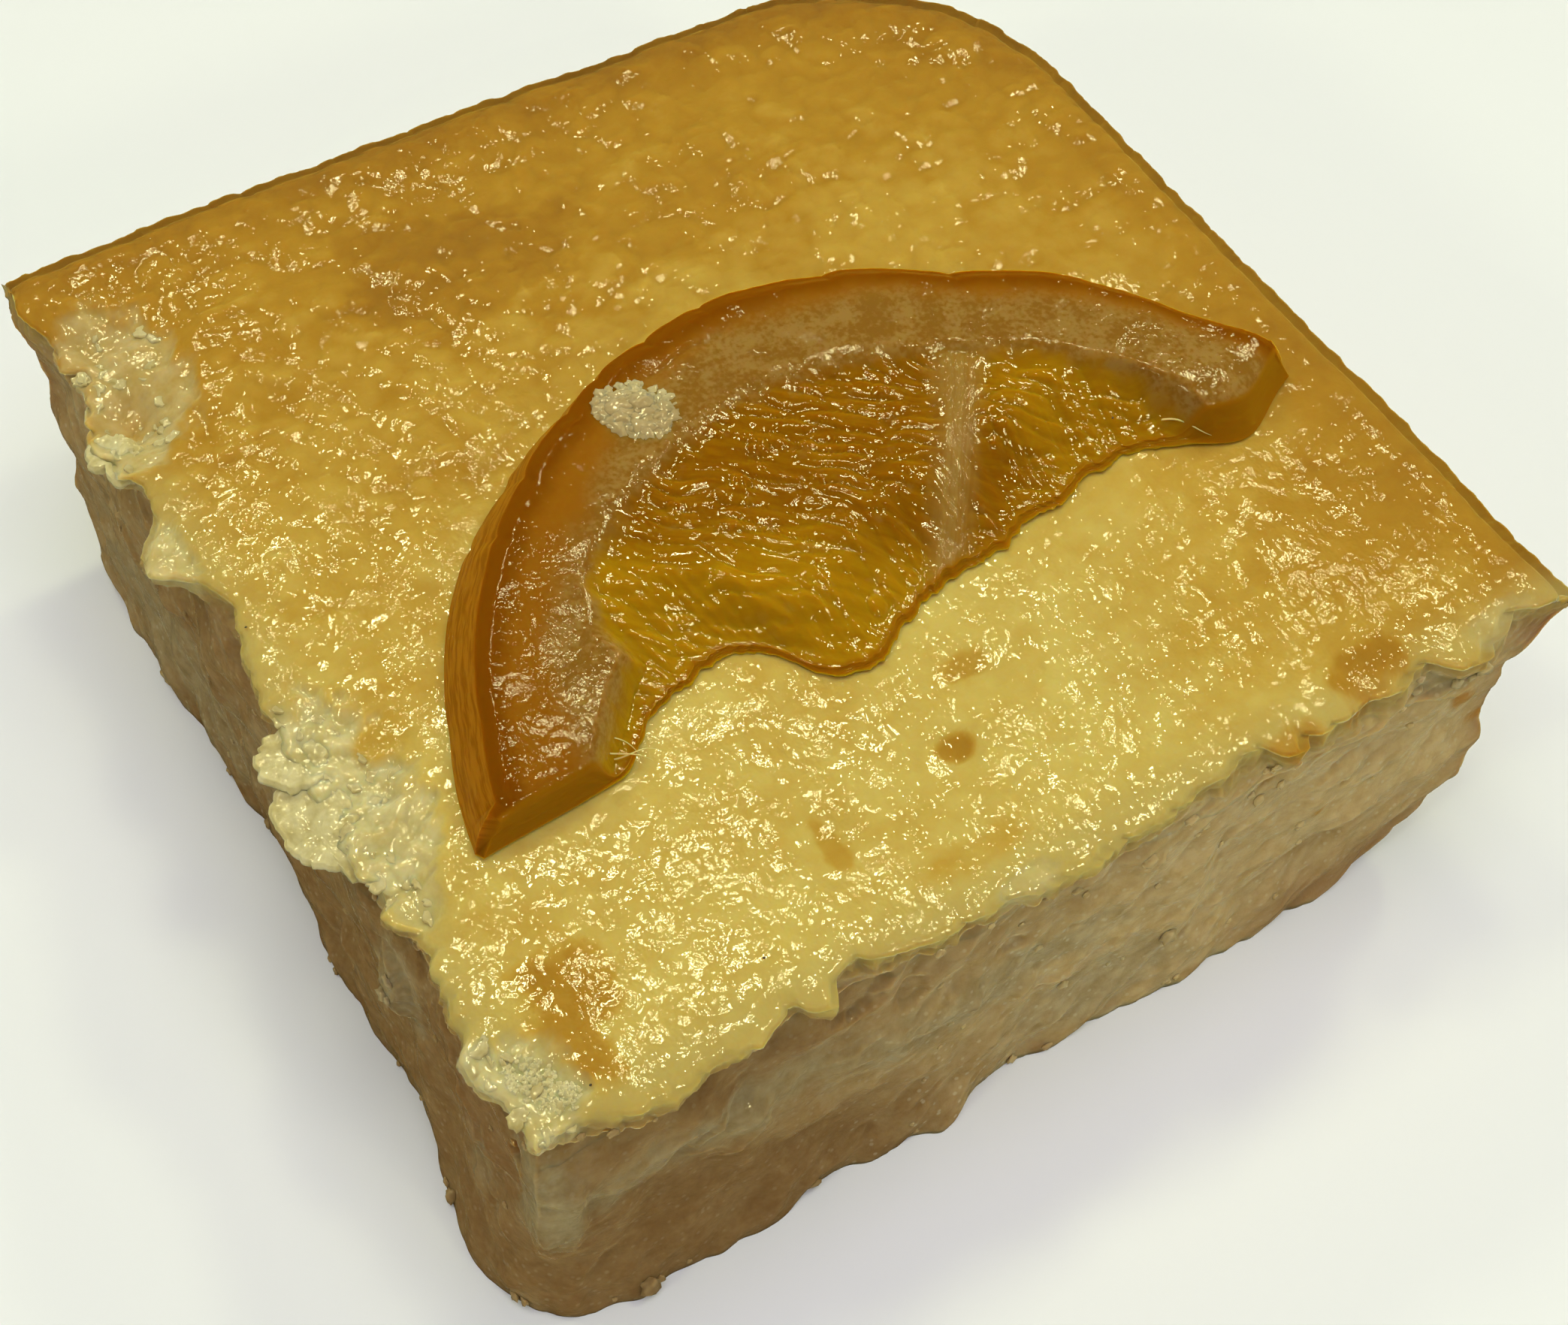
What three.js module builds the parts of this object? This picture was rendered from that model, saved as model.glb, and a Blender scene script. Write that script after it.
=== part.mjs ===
// Portokalopita: one corner piece cut from a square pan, with half a candied citrus slice on top.
// Millimetres, +Z up. The work frame has its zero at the front bottom corner, where the two knife
// cuts meet: +X runs along the right cut face, +Y along the left cut face. The model is then moved
// so that its zero lies in the middle of the flat base.
import * as THREE from 'three';

// Driving dimensions of the piece
const WIDTH = 80;
const DEPTH = 79;
const HEIGHT = 29.2;
const PAN_CORNER_RADIUS = 19;
const MIDDLE_X = 38.9;
const MIDDLE_Y = 39.2;

// The crust: a sheet that hangs over the crumb at the cuts and stands out as a lip at the pan's wall
const CRUST_THICKNESS = 2.8;
const CUT_ROLL = { width: 1.5, drop: 0.5 };
const PAN_ROLL = { width: 3.4, drop: 1.5 };
const EDGE_FADE = 5;

// Broad waves of the top
const DOME = 0.5;
const VALLEY = { fromRim: 8, halfWidth: 4, depth: 0.6 };
const WAVE = { height: 0.25, length: 7, seed: 1 };

// Places where the crust is torn away or sunken: centre, radii along X and Y, depth
const HOLLOWS = [
  { x: 2.6, y: 65, rx: 4.5, ry: 7.5, depth: 0.9 },
  { x: 2.1, y: 63, rx: 2.2, ry: 2.2, depth: 1.6 },
  { x: 0.6, y: 26, rx: 4.2, ry: 6, depth: 0.9 },
  { x: 1.4, y: 17.5, rx: 1.8, ry: 3.5, depth: 1.2 },
  { x: 2, y: 2, rx: 3.4, ry: 3.8, depth: 0.9 },
  { x: 4.9, y: 29.3, rx: 2.6, ry: 2.6, depth: 0.7 },
  { x: 40.3, y: 14.6, rx: 2.4, ry: 1.8, depth: 0.5 },
  { x: 36.2, y: 9.7, rx: 1.8, ry: 1.8, depth: 0.6 },
  { x: 25.6, y: 8.9, rx: 1.8, ry: 1.8, depth: 0.5 },
  { x: 63.2, y: 1.4, rx: 3.5, ry: 3, depth: 0.8 },
];

// The two cut faces. Flaps of the crust's edge and flares of the foot: place along the face, half
// length, reach (less than 0 is a notch). The undercut below the crust gets shallow past one place.
const LEFT_CUT = {
  seed: 2,
  shallowFrom: 60,
  flaps: [
    { at: 74.5, half: 4.5, out: 1.1 },
    { at: 68.4, half: 1.4, out: -1.1 },
    { at: 60.8, half: 3.2, out: 1.6 },
    { at: 55.2, half: 1.7, out: -0.8 },
    { at: 49.4, half: 2.5, out: 1.9 },
    { at: 43, half: 3.4, out: -1 },
    { at: 27.6, half: 5, out: 3 },
    { at: 17, half: 3.6, out: -1 },
    { at: 6, half: 1.8, out: 0.9 },
  ],
  feet: [
    { at: 9, half: 8, out: 1.9 },
    { at: 35, half: 3.5, out: 0.6 },
    { at: 46.5, half: 4, out: -1.1 },
    { at: 68, half: 12, out: 0.55 },
  ],
};
const FRONT_CUT = {
  seed: 3,
  shallowFrom: 30,
  flaps: [
    { at: 8, half: 4.2, out: 1.1 },
    { at: 16.4, half: 3.4, out: 1.1 },
    { at: 21.8, half: 1.6, out: -0.8 },
    { at: 29.5, half: 2.6, out: 0.4 },
    { at: 36.6, half: 3.4, out: 1 },
    { at: 43.4, half: 3, out: 0.6 },
    { at: 54.8, half: 1.4, out: 1.1 },
    { at: 59.5, half: 4, out: 1.1 },
    { at: 70.2, half: 1.6, out: 1.3 },
  ],
  feet: [
    { at: 12, half: 14, out: 1.5 },
    { at: 33.5, half: 5, out: 1.6 },
    { at: 63, half: 13, out: 0.9 },
  ],
};
const CRUST_FADE = { below: 0.7, above: 0.3 };
const UNDERCUT = { depth: 0.9, below: 1.6, halfHeight: 2.4, shallowShare: 0.35, fadeLength: 20 };
const FOOT_RISE = 9;
const FOOT_CORNER = { radius: 4.2, rise: 14 };
const CRUMB_RELIEF = { reach: 0.55, length: 4 };
const CRUMB_GRAIN = { reach: 0.3, length: 2.1 };
const LEAST_RADIUS = 0.05;
const GRAIN_SEED_STEP = 7;

// The two pan sides: a lip of crust at the top, a wavy side and a round foot
const PAN_LIP = { out: 1.2, depth: 4.8, unevenness: 0.25, fadeBelow: 1.8, fadeAbove: 1.4 };
const PAN_SIDE = { inset: 2.2, waviness: 0.4, waveLength: 9, relief: 0.5, reliefLength: 5 };
const PAN_FOOT = { right: 11, back: 7, rise: 15, roundness: 0.92 };
const PAN_SEED = { right: 4, back: 5 };

// Candied slice: circle of its peel, its two ends, and the gap under it
const SLICE_CENTRE = { x: 40, y: 14 };
const SLICE_RADIUS = 34.5;
const SLICE_START = 173.8;
const SLICE_END = 17;
const SLICE_GAP = 0.3;
const PEEL_SWELLINGS = [
  { at: 160, half: 14, out: -0.7 },
  { at: 60, half: 9, out: -1.1 },
  { at: 17, half: 13, out: 2.9 },
];

// Its cut edge: a shallow arc with a torn notch at the left and a few bulges, and how it leans in
const CUT_SAG = 0.5;
const CUT_NOTCH = { from: 16.5, full: 21.5, back: 27.5, end: 33, depth: 3.4 };
const CUT_BULGES = [
  { at: 35, half: 4, out: 2.2 },
  { at: 57, half: 6, out: -1.2 },
  { at: 69, half: 4.5, out: 2.6 },
];
const TIP_LEAN = 0.022;
const OUTER_LEAN = { middle: 0.4, left: 2.3, right: 1.2, leftFull: 0.2, leftEnd: 0.55, rightFrom: 0.85 };
const INNER_LEAN = { left: 0.15, middle: 0.45, right: 0.9, leftEnd: 0.2, rightFrom: 0.8 };
const INNER_LEAN_FADE = { left: 0.1, right: 0.15 };
const MOST_LEAN = 0.7;

// Its thickness: high pith that drops to the cut, sunken flesh, and the spoke between two segments
const PEEL_THICKNESS = 4;
const PEEL_EDGE = { drop: 0.5, width: 1.4 };
const PITH_EDGE = { drop: 1.3, width: 3.4 };
const PITH_WIDTH = { left: 9.2, right: 7.4, narrowFrom: 50, narrowTo: 64 };
const FLESH = { thickness: 3.3, edge: 0.9, rise: 7, softness: 0.9 };
const FLESH_WAVE = { height: 0.3, length: 4, seed: 9 };
const FLESH_START = { x: 14.2, y: 18, slope: 0.95, reach: 6.5, softness: 1 };
const SPOKE_TOP = { x: 53.8, y: 36 };
const SPOKE_FOOT = { x: 41.4, y: 19 };
const SPOKE = { halfWidth: 1.8, softness: 1, thickness: 3.6, edge: 1.1, rise: 8 };

// Fineness of the meshes
const TOP_CELLS = 46;
const WALL_LEVELS = [0, 0.05, 0.19, 0.35, 0.5, 0.63, 0.73, 0.8, 0.85, 0.885, 0.915, 0.95, 0.98];
const SLICE_STATIONS = 54;
const SLICE_TOP_STEPS = 14;
const SLICE_WALL_STEPS = 2;
const SLICE_BASE_STEPS = 5;
const FIRST_STATION = 0.006;
const TIP_CROWDING = 0.5;

const CRUST_COLOUR = 0xcaa04a;
const CRUST_ROUGHNESS = 0.5;
const FRUIT_COLOUR = 0x97630f;
const FRUIT_ROUGHNESS = 0.25;

const clamp = THREE.MathUtils.clamp;
const lerp = THREE.MathUtils.lerp;
const smoothstep = THREE.MathUtils.smoothstep;

function bell(distance, half) {
  return Math.exp(-((distance / half) ** 2));
}

// A number from 0 to 1 that belongs to one corner of a lattice
function latticeValue(i, j, seed) {
  const wave = Math.sin(i * 127.1 + j * 311.7 + seed * 74.7) * 43758.5453;
  return wave - Math.floor(wave);
}

// Smooth relief from -1 to 1 with bumps of about one unit
function relief(x, y, seed) {
  const i = Math.floor(x);
  const j = Math.floor(y);
  const u = smoothstep(x - i, 0, 1);
  const v = smoothstep(y - j, 0, 1);
  const near = lerp(latticeValue(i, j, seed), latticeValue(i + 1, j, seed), u);
  const far = lerp(latticeValue(i, j + 1, seed), latticeValue(i + 1, j + 1, seed), u);
  return 2 * lerp(near, far, v) - 1;
}

// How far a row of flat-topped bumps stands out at one place along it
function reachAlong(along, bumps) {
  let reach = 0;
  for (const bump of bumps) {
    reach += bump.out * Math.exp(-(((along - bump.at) / bump.half) ** 4));
  }
  return reach;
}

// The same for a row of bells
function bellsAlong(along, bells) {
  return bells.reduce((sum, one) => sum + one.out * bell(along - one.at, one.half), 0);
}

// Distance from the pan's wall, which turns the far corner with a round
function distanceFromPan(x, y) {
  const a = x - (WIDTH - PAN_CORNER_RADIUS);
  const b = y - (DEPTH - PAN_CORNER_RADIUS);
  if (a > 0 && b > 0) return PAN_CORNER_RADIUS - Math.hypot(a, b);
  return Math.min(WIDTH - x, DEPTH - y);
}

// A quarter round that falls to its full drop at the edge
function rollDrop(distance, roll) {
  if (distance >= roll.width) return 0;
  const q = 1 - clamp(distance, 0, roll.width) / roll.width;
  return roll.drop * (1 - Math.sqrt(Math.max(0, 1 - q * q)));
}

// Height of the top at any place, and at a given distance from the nearer cut face
function topHeight(x, y, fromCut) {
  const rim = distanceFromPan(x, y);
  let z = HEIGHT + DOME * bell(Math.hypot(x - WIDTH / 2, y - DEPTH / 2), WIDTH / 3) - DOME / 2;
  z -= VALLEY.depth * bell(rim - VALLEY.fromRim, VALLEY.halfWidth);
  z += WAVE.height * relief(x / WAVE.length, y / WAVE.length, WAVE.seed);
  for (const hollow of HOLLOWS) {
    z -= hollow.depth * bell(Math.hypot((x - hollow.x) / hollow.rx, (y - hollow.y) / hollow.ry), 1);
  }
  return z - rollDrop(rim, PAN_ROLL) - rollDrop(fromCut, CUT_ROLL);
}

// How far a cut face stands out at one place: the crust's flap above, the crumb below
function cutFaceReach(along, z, face) {
  const underCrust = HEIGHT - CRUST_THICKNESS;
  const crust = smoothstep(z, underCrust - CRUST_FADE.below, underCrust + CRUST_FADE.above);
  const shallow = smoothstep(along, face.shallowFrom, face.shallowFrom + UNDERCUT.fadeLength);
  const depth = UNDERCUT.depth * lerp(1, UNDERCUT.shallowShare, shallow);
  const undercut = depth * bell(z - (underCrust - UNDERCUT.below), UNDERCUT.halfHeight);
  const flare = reachAlong(along, face.feet) * (1 - smoothstep(z, 0, FOOT_RISE));
  const rough = CRUMB_RELIEF.reach * relief(along / CRUMB_RELIEF.length, z / CRUMB_RELIEF.length, face.seed);
  const grainSeed = face.seed + GRAIN_SEED_STEP;
  const grain = CRUMB_GRAIN.reach * relief(along / CRUMB_GRAIN.length, z / CRUMB_GRAIN.length, grainSeed);
  return crust * reachAlong(along, face.flaps) + (1 - crust) * (flare - undercut) + rough + grain;
}

// How far a pan side lies inside the piece's width: a lip at the top, a round foot below
function panSideInset(along, z, footInset, seed) {
  const uneven = relief(along / PAN_SIDE.waveLength, 0.5, seed);
  const underLip = HEIGHT - PAN_LIP.depth * (1 + PAN_LIP.unevenness * uneven);
  const lip = smoothstep(z, underLip - PAN_LIP.fadeBelow, underLip + PAN_LIP.fadeAbove);
  const q = clamp(1 - z / PAN_FOOT.rise, 0, 1);
  const foot = footInset * (1 - Math.sqrt(1 - q * q * PAN_FOOT.roundness));
  const rough = PAN_SIDE.relief * relief(along / PAN_SIDE.reliefLength, z / PAN_SIDE.reliefLength, seed);
  const side = PAN_SIDE.inset * (1 + PAN_SIDE.waviness * uneven) + foot + rough;
  return (1 - lip) * side - lip * PAN_LIP.out;
}

// Turns one corner of a square outline into a round one; way is 1 at the far corner, -1 at the near
function roundCorner(point, cornerX, cornerY, radius, way) {
  if (radius < LEAST_RADIUS) return;
  const a = 1 + (way * (point.x - cornerX)) / radius;
  const b = 1 + (way * (point.y - cornerY)) / radius;
  if (a <= 0 || b <= 0) return;
  point.x = cornerX + way * radius * (a * Math.sqrt(1 - (b * b) / 2) - 1);
  point.y = cornerY + way * radius * (b * Math.sqrt(1 - (a * a) / 2) - 1);
}

// Place of a point of the wall: (s, t) lies on the edge of the unit square
function wallPoint(s, t, z) {
  const alongX = s * WIDTH;
  const alongY = t * DEPTH;
  const left = -cutFaceReach(alongY, z, LEFT_CUT);
  const front = -cutFaceReach(alongX, z, FRONT_CUT);
  const right = WIDTH - panSideInset(alongY, z, PAN_FOOT.right, PAN_SEED.right);
  const back = DEPTH - panSideInset(alongX, z, PAN_FOOT.back, PAN_SEED.back);
  const point = new THREE.Vector3(lerp(left, right, s), lerp(front, back, t), z);
  roundCorner(point, right, back, PAN_CORNER_RADIUS, 1);
  const footRadius = FOOT_CORNER.radius * (1 - smoothstep(z, 0, FOOT_CORNER.rise));
  roundCorner(point, left, front, footRadius, -1);
  return point;
}

// Place of a point of the top: the edge's shifts fade out towards the middle
function topPoint(s, t) {
  const x = s * WIDTH;
  const y = t * DEPTH;
  const left = -cutFaceReach(y, HEIGHT, LEFT_CUT) * Math.exp(-x / EDGE_FADE);
  const front = -cutFaceReach(x, HEIGHT, FRONT_CUT) * Math.exp(-y / EDGE_FADE);
  const point = new THREE.Vector3(x + left, y + front, 0);
  roundCorner(point, WIDTH, DEPTH, PAN_CORNER_RADIUS, 1);
  point.z = topHeight(point.x, point.y, Math.min(x, y));
  return point;
}

// Grid places that go once round the unit square, counterclockwise from the front corner
function rimPlaces(cells) {
  const places = [];
  for (let k = 0; k < cells; k++) places.push([k, 0]);
  for (let k = 0; k < cells; k++) places.push([cells, k]);
  for (let k = 0; k < cells; k++) places.push([cells - k, cells]);
  for (let k = 0; k < cells; k++) places.push([0, cells - k]);
  return places;
}

function solid(points, triangles) {
  const geometry = new THREE.BufferGeometry();
  const numbers = points.flatMap((point) => [point.x, point.y, point.z]);
  geometry.setAttribute('position', new THREE.Float32BufferAttribute(numbers, 3));
  geometry.setIndex(triangles.flat());
  geometry.computeVertexNormals();
  return geometry;
}

// The piece of cake: a gridded top, rings of wall points under its rim, and a flat base
function cakeGeometry() {
  const points = [];
  const triangles = [];
  for (let j = 0; j <= TOP_CELLS; j++) {
    for (let i = 0; i <= TOP_CELLS; i++) points.push(topPoint(i / TOP_CELLS, j / TOP_CELLS));
  }
  const topIndex = (i, j) => j * (TOP_CELLS + 1) + i;
  for (let j = 0; j < TOP_CELLS; j++) {
    for (let i = 0; i < TOP_CELLS; i++) {
      const corners = [topIndex(i, j), topIndex(i + 1, j), topIndex(i + 1, j + 1), topIndex(i, j + 1)];
      triangles.push([corners[0], corners[1], corners[2]], [corners[0], corners[2], corners[3]]);
    }
  }
  const places = rimPlaces(TOP_CELLS);
  const rings = WALL_LEVELS.map((level) => places.map(([i, j]) => {
    const rimHeight = points[topIndex(i, j)].z;
    points.push(wallPoint(i / TOP_CELLS, j / TOP_CELLS, level * rimHeight));
    return points.length - 1;
  }));
  rings.push(places.map(([i, j]) => topIndex(i, j)));
  for (let row = 0; row + 1 < rings.length; row++) {
    for (let k = 0; k < places.length; k++) {
      const next = (k + 1) % places.length;
      const [a, b] = [rings[row][k], rings[row][next]];
      const [c, d] = [rings[row + 1][next], rings[row + 1][k]];
      triangles.push([a, b, c], [a, c, d]);
    }
  }
  const base = rings[0].map((index) => new THREE.Vector2(points[index].x, points[index].y));
  for (const [a, b, c] of THREE.ShapeUtils.triangulateShape(base, [])) {
    triangles.push([rings[0][a], rings[0][c], rings[0][b]]);
  }
  return solid(points, triangles);
}

// Outer edge of the slice's foot, at a share of the way from tip to tip
function peelEdge(share) {
  const degrees = lerp(SLICE_START, SLICE_END, share);
  const angle = THREE.MathUtils.degToRad(degrees);
  const radius = SLICE_RADIUS + bellsAlong(degrees, PEEL_SWELLINGS);
  return {
    x: SLICE_CENTRE.x + radius * Math.cos(angle),
    y: SLICE_CENTRE.y + radius * Math.sin(angle),
  };
}

// Inner, cut edge of the slice's foot
function cutEdge(share) {
  const first = peelEdge(0);
  const last = peelEdge(1);
  const x = lerp(first.x, last.x, share);
  const straight = lerp(first.y, last.y, share) - CUT_SAG * Math.sin(Math.PI * share);
  const begun = smoothstep(x, CUT_NOTCH.from, CUT_NOTCH.full);
  const ended = smoothstep(x, CUT_NOTCH.back, CUT_NOTCH.end);
  return { x, y: straight + CUT_NOTCH.depth * begun * (1 - ended) - bellsAlong(x, CUT_BULGES) };
}

// The slice leans in from its foot: its two top edges at a share of the way from tip to tip
function topEdges(share) {
  const along = lerp(TIP_LEAN, 1 - TIP_LEAN, share);
  const outer = peelEdge(along);
  const inner = cutEdge(along);
  const width = Math.hypot(outer.x - inner.x, outer.y - inner.y);
  const outerLeft = 1 - smoothstep(along, OUTER_LEAN.leftFull, OUTER_LEAN.leftEnd);
  const outerRight = smoothstep(along, OUTER_LEAN.rightFrom, 1);
  const outerLean = OUTER_LEAN.middle + OUTER_LEAN.left * outerLeft + OUTER_LEAN.right * outerRight;
  const pastTip = smoothstep(along, INNER_LEAN.leftEnd, INNER_LEAN.leftEnd + INNER_LEAN_FADE.left);
  const innerRight = smoothstep(along, INNER_LEAN.rightFrom, INNER_LEAN.rightFrom + INNER_LEAN_FADE.right);
  const innerLean = lerp(INNER_LEAN.left, INNER_LEAN.middle, pastTip) + INNER_LEAN.right * innerRight;
  const lean = Math.min(1, (MOST_LEAN * width) / (outerLean + innerLean)) / width;
  const between = (part) => ({ x: lerp(outer.x, inner.x, part), y: lerp(outer.y, inner.y, part) });
  return { topOuter: between(outerLean * lean), topInner: between(1 - innerLean * lean) };
}

// How much a place of the slice is flesh: inside the pith's ring and right of the torn left border
function fleshShare(x, y) {
  const radius = Math.hypot(x - SLICE_CENTRE.x, y - SLICE_CENTRE.y);
  const narrowed = smoothstep(x, PITH_WIDTH.narrowFrom, PITH_WIDTH.narrowTo);
  const pithWidth = lerp(PITH_WIDTH.left, PITH_WIDTH.right, narrowed);
  const border = SLICE_RADIUS - pithWidth;
  const startX = FLESH_START.x + FLESH_START.slope * clamp(y - FLESH_START.y, 0, FLESH_START.reach);
  const ring = 1 - smoothstep(radius, border - FLESH.softness, border + FLESH.softness);
  return ring * smoothstep(x, startX - FLESH_START.softness, startX + FLESH_START.softness);
}

// How much it is the spoke of membrane between the two segments
function spokeShare(x, y) {
  const along = clamp((y - SPOKE_FOOT.y) / (SPOKE_TOP.y - SPOKE_FOOT.y), 0, 1);
  const fromSpoke = Math.abs(x - lerp(SPOKE_FOOT.x, SPOKE_TOP.x, along));
  return 1 - smoothstep(fromSpoke, SPOKE.halfWidth, SPOKE.halfWidth + SPOKE.softness);
}

// Thickness of the slice at a place and its distances from the rim's and from the cut's top edge
function sliceThickness(x, y, toRim, toCut) {
  const flesh = fleshShare(x, y);
  const uneven = FLESH_WAVE.height * relief(x / FLESH_WAVE.length, y / FLESH_WAVE.length, FLESH_WAVE.seed);
  const body = lerp(FLESH.edge, FLESH.thickness, smoothstep(toCut, 0, FLESH.rise)) + uneven;
  const pith = PEEL_THICKNESS - rollDrop(toCut, PITH_EDGE);
  const spoke = lerp(SPOKE.edge, SPOKE.thickness, smoothstep(toCut, 0, SPOKE.rise));
  const thickness = lerp(lerp(pith, body, flesh), spoke, flesh * spokeShare(x, y));
  return thickness - PEEL_EDGE.drop * (1 - smoothstep(toRim, 0, PEEL_EDGE.width));
}

// One cross-section of the slice, as a closed loop from its inner foot round to its inner top
function sliceSection(share) {
  const outerFoot = peelEdge(share);
  const innerFoot = cutEdge(share);
  const { topOuter, topInner } = topEdges(share);
  const across = Math.hypot(topOuter.x - topInner.x, topOuter.y - topInner.y);
  const loop = [];
  const under = (x, y) => topHeight(x, y, Math.min(x, y)) + SLICE_GAP;
  for (let k = 0; k <= SLICE_BASE_STEPS; k++) {
    const q = k / SLICE_BASE_STEPS;
    const x = lerp(innerFoot.x, outerFoot.x, q);
    const y = lerp(innerFoot.y, outerFoot.y, q);
    loop.push(new THREE.Vector3(x, y, under(x, y)));
  }
  const topLine = [];
  for (let k = 0; k <= SLICE_TOP_STEPS; k++) {
    const q = 0.5 - 0.5 * Math.cos((Math.PI * k) / SLICE_TOP_STEPS);
    const x = lerp(topOuter.x, topInner.x, q);
    const y = lerp(topOuter.y, topInner.y, q);
    const thickness = sliceThickness(x, y, q * across, (1 - q) * across);
    topLine.push(new THREE.Vector3(x, y, under(x, y) + thickness));
  }
  const outerFootPoint = loop[loop.length - 1];
  for (let k = 1; k < SLICE_WALL_STEPS; k++) {
    loop.push(outerFootPoint.clone().lerp(topLine[0], k / SLICE_WALL_STEPS));
  }
  loop.push(...topLine);
  const innerTop = topLine[topLine.length - 1];
  for (let k = 1; k < SLICE_WALL_STEPS; k++) {
    loop.push(innerTop.clone().lerp(loop[0], k / SLICE_WALL_STEPS));
  }
  return loop;
}

// The candied slice: its cross-sections joined from tip to tip, with a small cap on each tip
function sliceGeometry() {
  const points = [];
  const triangles = [];
  const loops = [];
  for (let k = 0; k <= SLICE_STATIONS; k++) {
    const even = k / SLICE_STATIONS;
    const closerAtTips = lerp(even, smoothstep(even, 0, 1), TIP_CROWDING);
    const share = lerp(FIRST_STATION, 1 - FIRST_STATION, closerAtTips);
    loops.push(sliceSection(share).map((point) => points.push(point) - 1));
  }
  const size = loops[0].length;
  for (let k = 0; k < SLICE_STATIONS; k++) {
    for (let m = 0; m < size; m++) {
      const [a, b] = [loops[k][m], loops[k][(m + 1) % size]];
      const [c, d] = [loops[k + 1][(m + 1) % size], loops[k + 1][m]];
      triangles.push([a, b, c], [a, c, d]);
    }
  }
  for (const [loop, turned] of [[loops[0], false], [loops[SLICE_STATIONS], true]]) {
    const centre = new THREE.Vector3();
    for (const index of loop) centre.addScaledVector(points[index], 1 / size);
    const middle = points.push(centre) - 1;
    for (let m = 0; m < size; m++) {
      const [a, b] = [loop[m], loop[(m + 1) % size]];
      triangles.push(turned ? [middle, a, b] : [middle, b, a]);
    }
  }
  return solid(points, triangles);
}

function food(name, geometry, colour, roughness) {
  const material = new THREE.MeshStandardMaterial({ color: colour, roughness, metalness: 0 });
  const mesh = new THREE.Mesh(geometry, material);
  mesh.name = name;
  return mesh;
}

const model = new THREE.Group();
model.add(food('cake', cakeGeometry(), CRUST_COLOUR, CRUST_ROUGHNESS));
model.add(food('candied_slice', sliceGeometry(), FRUIT_COLOUR, FRUIT_ROUGHNESS));
model.position.set(-MIDDLE_X, -MIDDLE_Y, 0);
export default model;
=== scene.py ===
# Portokalopita corner piece: syrup-wet crust, moist crumb and half a candied citrus slice on top.
# Shapes are worked out in millimetres in the solids' work frame: zero at the front bottom corner,
# where the two knife cuts meet, +X along the right cut face and +Y along the left cut face.
import math

import bpy
import numpy as np
from mathutils import Matrix, Vector


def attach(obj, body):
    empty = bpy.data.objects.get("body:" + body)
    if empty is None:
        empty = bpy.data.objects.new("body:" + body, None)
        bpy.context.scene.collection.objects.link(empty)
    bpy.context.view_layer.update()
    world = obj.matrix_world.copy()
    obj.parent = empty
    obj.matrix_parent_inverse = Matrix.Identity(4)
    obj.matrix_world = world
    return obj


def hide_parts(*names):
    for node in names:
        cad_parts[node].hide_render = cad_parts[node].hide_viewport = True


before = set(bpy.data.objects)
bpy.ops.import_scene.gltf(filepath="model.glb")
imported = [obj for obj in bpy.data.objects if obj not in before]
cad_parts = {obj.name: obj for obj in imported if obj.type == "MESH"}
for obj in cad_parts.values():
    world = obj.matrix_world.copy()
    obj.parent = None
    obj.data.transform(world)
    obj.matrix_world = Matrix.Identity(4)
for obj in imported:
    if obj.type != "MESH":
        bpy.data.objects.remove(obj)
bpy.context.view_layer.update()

MM = 0.001
MIDDLE = np.array([38.9, 39.2, 0.0])

# Camera, in millimetres of the row frame
CAMERA_PLACE = (-60.94, -91.11, 154.29)
CAMERA_AIM = (-2.83, -9.74, 15.0)
CAMERA_ROLL = 4.48
CAMERA_LENS = 54.19

# Studio: round lamps at azimuths and elevations in degrees that light the body, others in the same
# places that only show in the wet film, and a softbox; metres and watts
WORLD_FILL, BACKDROP = 0.12, 0.9
LAMPS = [(22, 46), (92, 46), (56, 70), (-20, 60), (140, 58), (-78, 34), (-168, 32)]
LAMP_DISTANCE = 0.9
BODY_LAMP = {"size": 0.11, "power": 0.86, "colour": (0.91, 0.98, 0.56)}
GLINT_LAMP = {"size": 0.155, "power": 2.9, "colour": (1.0, 0.93, 0.48), "glints_only": True}
SOFTBOX = {"azimuth": -110, "elevation": 78, "distance": 1.0, "size": 0.9, "power": 5.6,
           "colour": (0.89, 0.85, 1.0)}
FLOOR_REACH = 3.0

# Driving dimensions of the cake, the same as the solids'
WIDTH = 80.0
DEPTH = 79.0
HEIGHT = 29.2
PAN_CORNER_RADIUS = 19.0
CRUST_THICKNESS = 2.8
CUT_ROLL, CUT_ROLL_DROP = 1.5, 0.5
PAN_ROLL, PAN_ROLL_DROP = 3.4, 1.5
PAN_LIP_OUT, PAN_LIP_DEPTH = 1.2, 4.8
PAN_SIDE_INSET, PAN_SIDE_LENGTH = 2.2, 9.0
PAN_FOOT_RIGHT, PAN_FOOT_BACK, PAN_FOOT_RISE = 11.0, 7.0, 15.0
EDGE_FADE = 5.0
UNDERCUT, UNDERCUT_FADE = 0.9, 20.0
FOOT_RISE = 9.0
FOOT_CORNER_RADIUS, FOOT_CORNER_RISE = 4.2, 14.0
LEAST_RADIUS = 0.05
SKIN_THICKNESS, SKIN_FADE = 1.1, 0.9

# Where the crust passes into the crumb without a step: share of the undercut left, height of the slope
UNDERCUT_SHALLOW = 0.1
SOFT_STEP = 2.4

# Roundness of the top as a whole
DOME = 0.5

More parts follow.
